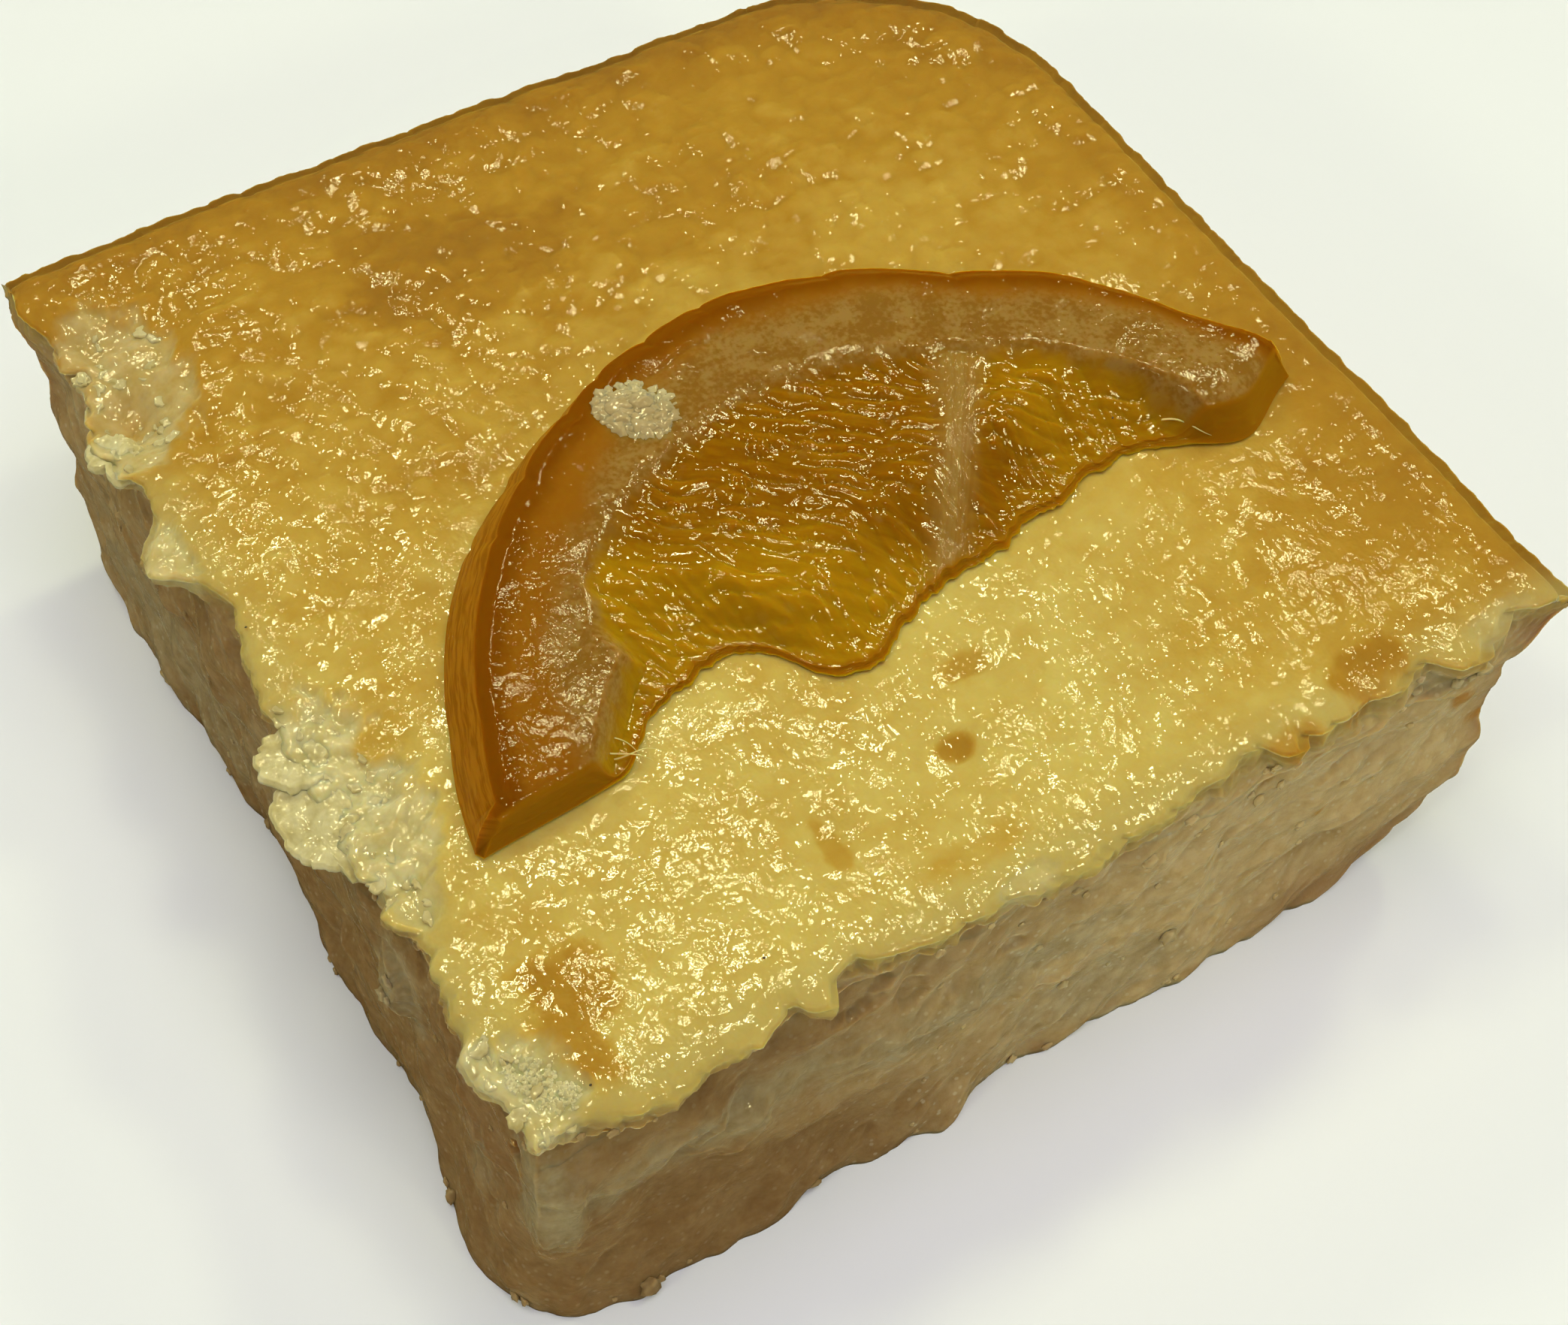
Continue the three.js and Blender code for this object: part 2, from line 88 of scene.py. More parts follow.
# Flaps and notches of the crust's cut edges: place along the edge, half length, reach
LEFT_FLAPS = [(76.5, 3.4, 1.1), (68.4, 0.9, -1.3), (63.6, 1.3, 0.7), (60.9, 1.5, 1.7),
              (58.2, 1.2, 0.8), (55.2, 1.7, -0.8), (49.7, 2.2, 1.9), (43.0, 3.4, -1.0),
              (37.6, 1.8, -0.4), (19.6, 1.2, -0.9), (15.0, 1.6, -1.1), (11.8, 1.4, -0.4),
              (6.0, 1.8, 0.9)]
FRONT_FLAPS = [(8.0, 4.2, 1.1), (14.8, 2.0, 1.0), (19.0, 1.0, 1.1), (21.6, 1.3, -0.8),
               (28.0, 1.2, 0.4), (31.0, 1.2, 0.4), (36.6, 3.4, 1.0), (43.4, 3.0, 0.6),
               (54.8, 1.0, 1.4), (58.8, 3.2, 1.1), (64.0, 1.4, 0.6), (70.2, 1.9, 1.2),
               (75.5, 1.4, -0.4)]

# Flares of the foot of the two cut faces: place along, half length, reach
LEFT_FEET = [(9, 8, 1.9), (35, 3.5, 0.6), (46.5, 4, -1.1), (68, 12, 0.55)]
FRONT_FEET = [(12, 14, 1.5), (33.5, 5, 1.6), (63, 13, 0.9)]

# Torn plates of crumb: outline in X and Y, height at the inner and at the outer side, thickness
FLAKES = [
    ([(-1.7, 33.2), (-2.5, 31.9), (-2.6, 31.1), (-1.9, 29.9), (-0.9, 29.0), (0.7, 28.7), (1.6, 29.8),
      (1.8, 31.8), (1.2, 33.2), (0.2, 33.8), (-0.8, 33.7)], 28.3, 27.8, 1.0),
    ([(-0.7, 30.2), (-1.9, 30.2), (-2.8, 29.5), (-3.2, 28.3), (-3.0, 26.8), (-3.2, 25.9), (-2.7, 24.9),
      (-2.2, 23.9), (-1.5, 23.4), (-0.9, 22.7), (-0.8, 21.6), (-0.4, 21.5), (0.0, 22.6), (0.6, 23.5),
      (1.2, 24.8), (1.6, 26.6), (1.2, 28.8)], 28.0, 26.9, 0.9),
    ([(1.4, 60.6), (0.4, 61.7), (-0.9, 62.3), (-1.8, 61.7), (-2.1, 60.4), (-1.2, 59.4), (-0.9, 57.6),
      (0.2, 57.2), (1.2, 58.4)], 28.5, 28.0, 0.9),
]

# Lumps and hollows of the two cut faces: place along, height, half sizes, how far they stand out
FRONT_CHUNKS = [(30.8, 16.4, 3.4, 2.5, 0.5), (14.3, 15.6, 3.4, 3.2, 0.45),
                (1.6, 16.0, 1.9, 6.0, 0.5), (24.5, 16.6, 4.6, 1.7, 0.3), (9, 17.6, 4.5, 2.0, 0.4),
                (47, 21.5, 1.3, 0.9, 0.35), (72, 24.4, 3.2, 1.5, 0.6), (57, 18, 2.6, 1.4, 0.3),
                (64.5, 19, 2.8, 1.3, 0.3), (40, 12, 4, 1.6, 0.3), (23.2, 23.0, 2.6, 2.3, -0.9),
                (27.7, 20.6, 1.4, 2.0, -0.5), (36, 19.4, 1.4, 0.8, -0.35),
                (50, 12.5, 3, 1.2, -0.2), (68, 11, 3, 1.6, 0.25), (58, 5, 3.5, 1.6, 0.25)]
LEFT_CHUNKS = [(19.7, 17.8, 2.0, 3.4, 0.8), (13, 20.5, 2.6, 2.2, 0.35), (9.5, 16.5, 1.6, 3.0, 0.4),
               (2.8, 21.2, 1.1, 1.5, -1.1), (34, 18, 2.5, 3, 0.3), (44, 12, 3.4, 2.4, 0.3),
               (56, 18, 3, 2.6, 0.35), (66, 14, 3.6, 2.4, 0.35), (73, 20, 2.6, 2.4, 0.4),
               (7.5, 11, 2.2, 4.0, 0.4)]

# The two cut faces: number of their noise, where the undercut turns shallow, and the lists above
LEFT_CUT = {"seed": 2, "shallow_from": 60,
            "flaps": LEFT_FLAPS, "feet": LEFT_FEET, "chunks": LEFT_CHUNKS}
FRONT_CUT = {"seed": 3, "shallow_from": 30,
             "flaps": FRONT_FLAPS, "feet": FRONT_FEET, "chunks": FRONT_CHUNKS}

# Spots on the cut faces, browner or greyer: place along, height, half sizes, strength
BROWN_SPOTS = {
    "front": [(62.2, 14.7, 0.7, 0.55, 1.0), (74.3, 19.1, 1.1, 0.9, 0.8), (72.6, 21.3, 0.7, 0.5, 0.6),
              (77.2, 15.0, 0.9, 0.7, 0.7), (44.2, 1.7, 0.9, 0.7, 0.7), (56.6, 27.2, 1.6, 0.9, 0.5),
              (61.7, 27.6, 1.4, 1.0, 0.6)],
    "left": [(2.8, 21.4, 1.0, 1.2, 0.95)],
}
GREY_SPOTS = {
    "front": [(1.0, 18.0, 2.4, 7.5, 0.95), (12, 17.2, 14, 3.0, 0.8), (33, 15.5, 14, 3.2, 0.85),
              (45, 5.5, 9, 5.0, 0.75), (70.5, 25.4, 3.6, 1.4, 1.0), (64.6, 18.0, 1.6, 0.7, 0.6)],
    "left": [(19.0, 17.5, 3.0, 5.0, 0.8), (8.0, 12.0, 2.0, 5.0, 0.5), (58, 8, 16, 7, 0.7),
             (40, 14, 8, 5, 0.4)],
}
SPOT_GRAIN, SPOT_DEPTH = 2.4, 3.5

# Crumbs that stand out on the cut faces: side, place along it, height, size
NAMED_CRUMBS = [("front", 46.6, 22.3, 0.7), ("front", 51.7, 8.2, 0.8), ("front", 42.6, 8, 0.6),
                ("front", 41.9, 21.0, 0.4), ("front", 35.2, 19.4, 0.35), ("front", 38.7, 17, 0.4),
                ("front", 36.6, 21.6, 0.3), ("front", 56.5, 21.6, 0.6), ("front", 48.6, 24.2, 0.6),
                ("front", 58.0, 22.6, 0.45), ("front", 67.6, 24.8, 0.8),
                ("front", 71.3, 25.7, 0.9), ("front", 69.4, 25.4, 0.7), ("left", 19.8, 16.6, 0.8),
                ("left", 19.2, 18.6, 0.6), ("left", 3.6, 21.6, 0.5), ("left", 35, 20, 0.5),
                ("left", 58, 21, 0.6), ("left", 64, 19, 0.5), ("left", 12.4, 0.7, 0.9),
                ("front", 8.5, 1.2, 1.3)]

# Pebbly patch of small round grains at the front corner of the top: centre, half sizes, count
PEBBLES = {"x": 2.5, "y": 3.3, "along": 2.7, "across": 1.35, "turn": 1.0, "count": 210}

# The lump of crumb on the pith, specks (X, Y, on the slice or not) and fibres (ends, lift, radius)
PITH_CRUMB = {"x": 30.9, "y": 41.7, "long": 2.5, "wide": 2.7}
SPECKS = [(3.9, 53.1, False), (1.3, 41.3, False), (4.8, 1.6, False), (17.7, 3.4, False),
          (61.3, 46.6, False), (60.1, 26.1, True)]
SPECK_HALF_SIZES, SPECK_LIFT, SPECK_ON_FLESH = [0.1, 0.08, 0.05], 0.1, 2.3
FIBRES = [((15.8, 20.6, 30.4), (18.6, 18.4, 29.8), 0.5, 0.07),
          ((16.7, 19.7, 30.2), (19.6, 18.9, 29.7), 0.3, 0.06),
          ((16.6, 21.9, 30.4), (18.2, 18.9, 29.8), 0.6, 0.06),
          ((63.4, 24.6, 30.9), (66.4, 22.4, 30.0), 0.4, 0.08)]

# Chips on the torn places: how many, typical reach, thickness, how many torn places have them
CHIP_COUNT, CHIP_SIZE, CHIP_THICKNESS, CHIP_REGIONS = 90, 0.62, 0.4, 7

# Loose crumbs of each cut face: those on it, those at its foot and those under the crust
FACE_CRUMBS, FOOT_CRUMBS, CRUST_CRUMBS = 24, 12, 14

# Grains of the lump on the pith, and how pale loose crumb is
PITH_GRAINS = 80
LOOSE_PALE = 0.7

# Hollows of the top: centre, radii along X and Y, depth
HOLLOWS = [(2.6, 65, 4.5, 7.5, 0.9), (2.1, 63, 2.2, 2.2, 1.6), (0.6, 26, 4.2, 6, 0.9),
           (1.4, 17.5, 1.8, 3.5, 1.2), (2, 2, 3.4, 3.8, 0.9), (4.9, 29.3, 2.6, 2.6, 0.7),
           (40.3, 14.6, 2.4, 1.8, 0.5), (36.2, 9.7, 1.8, 1.8, 0.6), (25.6, 8.9, 1.8, 1.8, 0.5),
           (63.2, 1.4, 3.5, 3, 0.8)]

# Places where the skin is torn off and pale crumb shows: centre, radii along X and Y, strength
TORN = [(3.0, 66, 4.4, 7.4, 0.5), (0.6, 59.5, 3.4, 2.6, 0.6), (-0.8, 49.2, 1.7, 3.6, 0.6),
        (1.1, 26.3, 4.5, 8.2, 0.85), (1.8, 18.0, 1.6, 2.4, 0.5), (1.8, 2.8, 2.7, 3.6, 0.75),
        (-0.4, 5.8, 1.5, 1.9, 0.8), (35.0, -0.2, 2.2, 1.0, 0.4), (74.5, 0.2, 3.0, 1.4, 0.35)]

# Skin left whole inside a torn place: centre, radii along X and Y, strength
KEPT_SKIN = [(5.0, 29.4, 2.2, 1.7, 1.0)]

# Browner patches of the crust: centre, radii along X and Y, strength
BROWN_PATCHES = [(6.4, 7.2, 3.2, 3.3, 0.42), (5.9, 3.2, 1.5, 3.2, 0.38), (29, 63, 11, 6, 0.26),
                 (25, 68, 5, 3.5, 0.2), (35, 57, 6, 4, 0.12), (36.0, 10.2, 1.6, 1.0, 0.4),
                 (40.1, 15.2, 2.4, 1.0, 0.26), (25.4, 7.8, 0.9, 2.4, 0.26),
                 (63.6, 1.6, 3.4, 2.2, 0.3), (55.4, -1.0, 2.6, 1.7, 0.3), (33, 3.0, 4, 1.4, 0.12),
                 (6.2, 13, 2.4, 2.0, 0.05), (70, 12, 9, 6, 0.12), (46, 60, 14, 5, 0.08),
                 (18, 47, 6, 4, 0.08), (5.0, 29.4, 2.4, 2.0, 0.1)]

# The candied slice, the same as the solid's
SLICE_CENTRE = np.array([40.0, 14.0])
SLICE_RADIUS = 34.5
SLICE_START, SLICE_END = math.radians(173.8), math.radians(17)
SLICE_ARC = 95
SLICE_END_GAP = 0.006
SLICE_GAP = 0.3
SLICE_TIP_LEAN = 0.022
CUT_SAG = 0.5
CUT_NOTCH_DEPTH = 3.4
CUT_BULGES = [(35, 4, 2.2), (57, 6, -1.2), (69, 4.5, 2.6)]
PEEL_THICKNESS, PEEL_EDGE_DROP, PEEL_WIDTH = 4.0, 0.5, 1.4
FLESH_THICKNESS, FLESH_EDGE_THICKNESS, FLESH_RISE = 3.4, 0.5, 7.0
FLESH_START_X, FLESH_START_Y, FLESH_START_SLOPE, FLESH_START_REACH = 14.2, 18.0, 0.95, 6.5
PITH_TIP_DROP, PITH_ROUNDING = 1.3, 3.4
PITH_WIDTH, PITH_WIDTH_RIGHT = 9.2, 7.4
SPOKE_TOP, SPOKE_FOOT = np.array([53.8, 36.0]), np.array([41.4, 19.0])
SPOKE_HALF_WIDTH, SPOKE_THICKNESS = 2.1, 3.6
PEEL_NOTCHES = [59.3, 74.9, 91.0, 99.5, 107.2, 113.3, 123.9, 133.0]
BUBBLES = [(52.3, 28.7, 0.6), (51.4, 27.9, 0.5), (44.4, 38.7, 0.6), (42.0, 37.8, 0.45),
           (46.6, 35.2, 0.6), (33.8, 33.0, 0.7), (28.9, 33.1, 0.6), (44.2, 28.4, 0.4),
           (37.4, 21.2, 0.7), (36.4, 34.8, 0.7), (42.5, 27.6, 0.5), (39.5, 33.5, 0.6),
           (31.5, 30.0, 0.5)]

# Fineness of the meshes; the seam parts crust and crumb at a share of the height
TOP_CELLS = 280
LIP_ROWS = 19
CRUMB_ROWS = 86
SEAM_LEVEL = 0.84
SLICE_STATIONS = 500
SLICE_TOP_STEPS = 126
SLICE_WALL_STEPS = 26
SLICE_BASE_STEPS = 8


# Numbers: smooth steps up and down, bells, and noise on a lattice

def smooth(x, low, high):
    t = np.clip((x - low) / (high - low), 0, 1)
    return t * t * (3 - 2 * t)


def fade(x, low, high):
    return 1 - smooth(x, low, high)


def bell(distance, half):
    return np.exp(-((distance / half) ** 2))


def lerp(a, b, share):
    return a + (b - a) * share


def lattice(i, j, seed):
    wave = np.sin(i * 127.1 + j * 311.7 + seed * 74.7) * 43758.5453
    return wave - np.floor(wave)


def relief(x, y, seed):
    """The solids' own value noise, from -1 to 1."""
    i, j = np.floor(x), np.floor(y)
    u, v = smooth(x - i, 0, 1), smooth(y - j, 0, 1)
    near = lerp(lattice(i, j, seed), lattice(i + 1, j, seed), u)
    far = lerp(lattice(i, j + 1, seed), lattice(i + 1, j + 1, seed), u)
    return 2 * lerp(near, far, v) - 1


def swell(x, y, seed):
    """Gradient noise of about -1 to 1 with waves of about one unit."""
    i, j = np.floor(x), np.floor(y)
    a, b = x - i, y - j
    u, v = a ** 3 * (a * (6 * a - 15) + 10), b ** 3 * (b * (6 * b - 15) + 10)

    def corner(di, dj):
        angle = 2 * math.pi * lattice(i + di, j + dj, seed)
        return np.cos(angle) * (a - di) + np.sin(angle) * (b - dj)

    return 1.5 * lerp(lerp(corner(0, 0), corner(1, 0), u), lerp(corner(0, 1), corner(1, 1), u), v)


def rough(x, y, seed, octaves=3):
    """Sum of swells, each octave turned, half as long and half as high."""
    total = np.zeros(np.broadcast(x, y).shape)
    for k in range(octaves):
        turn = 0.6 + 1.1 * k
        c, s = math.cos(turn) * 2 ** k, math.sin(turn) * 2 ** k
        total += swell(c * x - s * y, s * x + c * y, seed + 11 * k) / 2 ** k
    return total


def cells(x, y, seed):
    """Distance to the nearest and second nearest seed point, and the nearest one's own number."""
    i0, j0 = np.floor(x), np.floor(y)
    first = np.full(x.shape, 9.0)
    second = np.full(x.shape, 9.0)
    own = np.zeros(x.shape)
    for di in (-1, 0, 1):
        for dj in (-1, 0, 1):
            i, j = i0 + di, j0 + dj
            px = i + 0.1 + 0.8 * lattice(i, j, seed)
            py = j + 0.1 + 0.8 * lattice(i, j, seed + 31)
            d = np.hypot(x - px, y - py)
            nearer = d < first
            second = np.where(nearer, first, np.minimum(second, d))
            own = np.where(nearer, lattice(i, j, seed + 57), own)
            first = np.where(nearer, d, first)
    return first, second, own


def dome(x, y, seed):
    """Round bumps of uneven height, from 0 to 1, one to a cell."""
    first, _, own = cells(x, y, seed)
    return np.maximum(0, 1 - 1.6 * first ** 2) ** 1.2 * (0.35 + 0.65 * own)


def strongest(x, y, ovals, uneven, low, high):
    """Strength of the strongest oval at a place; an oval fades out between two shares of its size."""
    most = np.zeros(x.shape)
    for cx, cy, rx, ry, strength in ovals:
        distance = np.hypot((x - cx) / rx, (y - cy) / ry) + uneven
        most = np.maximum(most, strength * fade(distance, low, high))
    return most


def spots_at(points, spots):
    """How much a place of the cut faces lies in one of the ragged spots, from 0 to 1."""
    x, y, z = np.moveaxis(points, -1, 0)
    most = np.zeros(x.shape)
    for side, along, depth in (("front", x, y), ("left", y, x)):
        for spot in spots[side]:
            grain = min(SPOT_GRAIN, 0.7 * spot[3])
            uneven = 0.3 * rough(along / grain, z / grain, 63, 2)
            share = strongest(along, z, [spot], uneven, 0.45, 1.25)
            most = np.maximum(most, share * (depth < SPOT_DEPTH))
    return most


# The cake's own form

def reach_along(along, bumps):
    """Sum of flat-topped bumps along an edge."""
    return sum(out * np.exp(-(((along - at) / half) ** 4)) for at, half, out in bumps)


def distance_from_pan(x, y):
    """Distance to the pan sides, measured from the arc in their round corner."""
    a = x - (WIDTH - PAN_CORNER_RADIUS)
    b = y - (DEPTH - PAN_CORNER_RADIUS)
    turned = PAN_CORNER_RADIUS - np.hypot(a, b)
    return np.where((a > 0) & (b > 0), turned, np.minimum(WIDTH - x, DEPTH - y))


def roll_drop(distance, roll, drop):
    q = 1 - np.clip(distance, 0, roll) / roll
    return drop * (1 - np.sqrt(np.maximum(0, 1 - q * q)))


def plain_top(x, y, from_cut=CUT_ROLL):
    """Height of the top as the solid has it, at a given distance from the nearer cut face."""
    rim = distance_from_pan(x, y)
    z = HEIGHT + DOME * bell(np.hypot(x - WIDTH / 2, y - DEPTH / 2), WIDTH / 3) - DOME / 2
    z = z - 0.6 * bell(rim - 8, 4) + 0.25 * relief(x / 7, y / 7, 1)
    for cx, cy, rx, ry, depth in HOLLOWS:
        z = z - depth * bell(np.hypot((x - cx) / rx, (y - cy) / ry), 1)
    z = z - roll_drop(rim, PAN_ROLL, PAN_ROLL_DROP)
    return z - roll_drop(from_cut, CUT_ROLL, CUT_ROLL_DROP)


def torn_share(x, y):
    """How much of the skin is torn off, from 0 to 1."""
    kept = strongest(x, y, KEPT_SKIN, 0, 0.6, 1.1)
    uneven = 0.2 * rough(x / 1.9, y / 1.9, 61, 4)
    return strongest(x, y, TORN, uneven, 0.8, 1.2) * (1 - kept)


def warped(a, b, amount, size, seeds):
    """Places pushed about by two slow waves, so that cells drawn there lose their rows."""
    push_a, push_b = (amount * swell(a / size, b / size, seed) for seed in seeds)
    return a + push_a, b + push_b


def top_grains(x, y):
    """Pale grains of torn crumb on the top, from 0 to 1."""
    a, b = warped(x, y, 0.8, 3.1, (41, 42))
    return dome(a / 1.9, b / 1.7, 47)


def skin_hills(x, y):
    """Pillowy bumps of the skin, low at the front and higher at the back."""
    a, b = warped(x, y, 0.8, 3.1, (41, 42))
    small, large = dome(a / 2.0, b / 1.8, 43), dome(a / 4.0, b / 3.6, 44)
    return lerp(0.1 * small + 0.08 * large, 0.26 * small + 0.28 * large, smooth(y, 20, 60))


def top_detail(x, y):
    """Relief of the top that is finer than the solid's: pillowy bumps, wrinkles and torn crumb."""
    skin = skin_hills(x, y) + 0.035 * rough(x / 1.1, y / 1.1, 45, 2) + 0.1 * swell(x / 5, y / 5, 46)
    crumb = 0.35 * top_grains(x, y) + 0.12 * dome(x / 0.9, y / 0.9, 49)
    crumb = crumb + 0.36 * rough(x / 2.4, y / 2.4, 48, 3) - 0.7
    return lerp(skin, crumb, np.minimum(1, 1.15 * torn_share(x, y)))


def cut_face_reach(along, z, face):
    """How far a cut face stands out, as the solid has it but with the crust's lower edge torn.

    Also the share of the crust in its form, and that of the skin in its colour.
    """
    seed = face["seed"]
    under = HEIGHT - CRUST_THICKNESS + 0.6 * swell(along / 4.2, 0.4, seed + 20)
    under = under + 0.35 * rough(along / 1.2, z / 3, seed + 21, 2)
    shallow = smooth(along, face["shallow_from"], face["shallow_from"] + UNDERCUT_FADE)
    crust = smooth(z, under - 0.6 - SOFT_STEP * shallow, under + 0.25)
    ragged = z + 0.5 * rough(along / 1.0, z / 0.8, seed + 25, 3)
    skin = smooth(ragged, under - 0.9 - 0.9 * shallow, under + 0.8)
    undercut = UNDERCUT * lerp(1, UNDERCUT_SHALLOW, shallow) * bell(z - (under - 1.6), 2.4)
    flare = reach_along(along, face["feet"]) * fade(z, 0, FOOT_RISE)
    base = 0.55 * relief(along / 4, z / 4, seed) + 0.3 * relief(along / 2.1, z / 2.1, seed + 7)
    reach = crust * reach_along(along, face["flaps"]) + (1 - crust) * (flare - undercut) + base
    return reach, crust, skin


def chunks_at(along, z, chunks, seed):
    """How far the lumps and hollows of a cut face stand out at a place."""
    out = np.zeros(np.broadcast(along, z).shape)
    uneven = 0.2 * rough(along / 1.7, z / 1.7, seed, 3)
    for at, height, half_along, half_up, reach in chunks:
        distance = np.hypot((along - at) / half_along, (z - height) / half_up) + uneven
        out = out + reach * fade(distance, 0.6, 1.05)
    return out


def crumb_grains(along, z, seed):
    """Pale grains and pores of the cut crumb, each from 0 to 1; the colour paints the pores dark, as
    shade in the holes.
    """
    a, b = warped(along, z, 0.4, 3.1, (seed + 1, seed + 12))
    first, _, own = cells(along / 2.2, z / 2.2, seed + 4)
    return dome(a / 1.3, b / 1.3, seed + 3), (own > 0.88) * fade(first, 0.06, 0.26)


def crumb_detail(along, z, chunks, seed, grainy):
    """Relief of the cut crumb: soft wet lumps, and small grains where the crumb is grainy."""
    a, b = warped(along, z, 0.5, 3.4, (seed + 1, seed + 12))
    lumps = (0.22 - 0.08 * grainy) * dome(a / 3.4, b / 3.4, seed + 2)
    middle = 0.16 * grainy * dome(a / 1.9, b / 1.9, seed + 5)
    grains, pores = crumb_grains(along, z, seed)
    fine = 0.03 * rough(along / 0.8, z / 0.8, seed + 6, 2)
    body = lumps + middle + grainy * (0.07 * grains - 0.16 * pores + fine) - 0.12
    return body + chunks_at(along, z, chunks, seed + 8)


def edge_raggedness(along, z, seed):
    """Fine raggedness of the crust's cut edge."""
    return 0.26 * rough(along / 1.3, z / 8, seed + 30, 3) + 0.14 * swell(along / 5, z / 9, seed + 33)


def torn_side(along, z, seed):
    """Relief of the crust's broken side, which fades out at its top edge."""
    grains = 0.3 * dome(along / 1.25, z / 0.9, seed + 35)
    grains = grains + 0.14 * rough(along / 0.8, z / 0.7, seed + 36, 2)
    return (grains - 0.16) * fade(z, HEIGHT - 2.0, HEIGHT - 1.1)


def pan_side_inset(along, z, foot_inset, seed):
    """How far a pan side lies inside the piece's width."""
    uneven = relief(along / PAN_SIDE_LENGTH, 0.5, seed)
    under_lip = HEIGHT - PAN_LIP_DEPTH * (1 + 0.25 * uneven)
    lip = smooth(z, under_lip - 1.8, under_lip + 1.4)
    q = np.clip(1 - z / PAN_FOOT_RISE, 0, 1)
    foot = foot_inset * (1 - np.sqrt(1 - q * q * 0.92))
    side = PAN_SIDE_INSET * (1 + 0.4 * uneven) + foot + 0.5 * relief(along / 5, z / 5, seed)
    fine = 0.16 * rough(along / 1.6, z / 1.6, seed + 50, 3)
    fine = fine - 0.14 * dome(along / 1.9, z / 1.9, seed + 51)
    return (1 - lip) * side - lip * PAN_LIP_OUT + fine


def round_corner(x, y, corner_x, corner_y, radius, way):
    """Turns one corner of a square outline round; way is 1 at the far corner, -1 at the near one."""
    r = np.maximum(radius, LEAST_RADIUS)
    a, b = 1 + way * (x - corner_x) / r, 1 + way * (y - corner_y) / r
    turned = (a > 0) & (b > 0) & (radius > LEAST_RADIUS)
    a, b = np.where(turned, a, 0), np.where(turned, b, 0)
    round_x = corner_x + way * r * (a * np.sqrt(np.maximum(0, 1 - b * b / 2)) - 1)
    round_y = corner_y + way * r * (b * np.sqrt(np.maximum(0, 1 - a * a / 2)) - 1)
    return np.where(turned, round_x, x), np.where(turned, round_y, y)


def cut_face(along, z, face, grainy):
    """Full reach of a cut face with its detail, and the masks that belong to it."""
    reach, crust, skin = cut_face_reach(along, z, face)
    seed = face["seed"]
    reach = reach + (1 - crust) * crumb_detail(along, z, face["chunks"], 100 + seed, grainy)
    reach = reach + crust * (edge_raggedness(along, z, seed) + torn_side(along, z, seed))
    grains, pores = crumb_grains(along, z, 100 + seed)
    pale = lerp(0.35 + 0.15 * swell(along / 3, z / 2.4, seed + 40), grains - pores, grainy)
    return reach, skin, pale


def wall_points(s, t, z):
    """Places of the wall, where (s, t) lies on the unit square's edge, and its masks."""
    along_x, along_y = s * WIDTH, t * DEPTH
    grainy_front = 0.25 + 0.75 * smooth(along_x, 20, 36)
    grainy_left = 0.3 + 0.3 * smooth(along_y, 40, 60)
    left, left_skin, left_pale = cut_face(along_y, z, LEFT_CUT, grainy_left)
    front, front_skin, front_pale = cut_face(along_x, z, FRONT_CUT, grainy_front)
    right = WIDTH - pan_side_inset(along_y, z, PAN_FOOT_RIGHT, 4)
    back = DEPTH - pan_side_inset(along_x, z, PAN_FOOT_BACK, 5)
    x, y = lerp(-left, right, s), lerp(-front, back, t)
    x, y = round_corner(x, y, right, back, PAN_CORNER_RADIUS * np.ones_like(z), 1)
    foot_radius = FOOT_CORNER_RADIUS * fade(z, 0, FOOT_CORNER_RISE)
    x, y = round_corner(x, y, -left, -front, foot_radius, -1)
    on_left, on_front = (s < 1e-6), (t < 1e-6)
    crust = np.minimum(np.where(on_left, left_skin, 1.0), np.where(on_front, front_skin, 1.0))
    under_skin = HEIGHT - SKIN_THICKNESS
    ledge = (on_left | on_front) * fade(z, under_skin - SKIN_FADE, under_skin)
    pale = np.where(on_left, left_pale, front_pale)
    grainy = np.where(on_left, grainy_left, grainy_front)
    return np.stack([x, y, z], -1), {"crust": crust, "ledge": ledge, "pale": pale, "grainy": grainy}


def top_points(s, t):
    """Places of the top over the unit square; the flaps of the cut edges fade out inward."""
    x, y = s * WIDTH, t * DEPTH
    from_cut = np.minimum(x, y)
    left = cut_face_reach(y, HEIGHT, LEFT_CUT)[0] + edge_raggedness(y, HEIGHT, LEFT_CUT["seed"])
    front = cut_face_reach(x, HEIGHT, FRONT_CUT)[0] + edge_raggedness(x, HEIGHT, FRONT_CUT["seed"])
    fade_x, fade_y = np.exp(-x / EDGE_FADE), np.exp(-y / EDGE_FADE)
    x, y = x - left * fade_x, y - front * fade_y
    x, y = round_corner(x, y, WIDTH, DEPTH, PAN_CORNER_RADIUS * np.ones_like(x), 1)
    z = plain_top(x, y, from_cut) + top_detail(x, y) * lerp(0.4, 1.0, smooth(from_cut, 0, 2))
    return np.stack([x, y, z], -1)


# Meshes

def quads(rows, columns, closed):
    """Faces of a grid of points; a closed grid joins its last column to its first."""
    width = columns if closed else columns - 1
    i, j = np.meshgrid(np.arange(width), np.arange(rows - 1))
    a = j * columns + i
    b = j * columns + (i + 1) % columns
    return np.stack([a, b, b + columns, a + columns], -1).reshape(-1, 4)


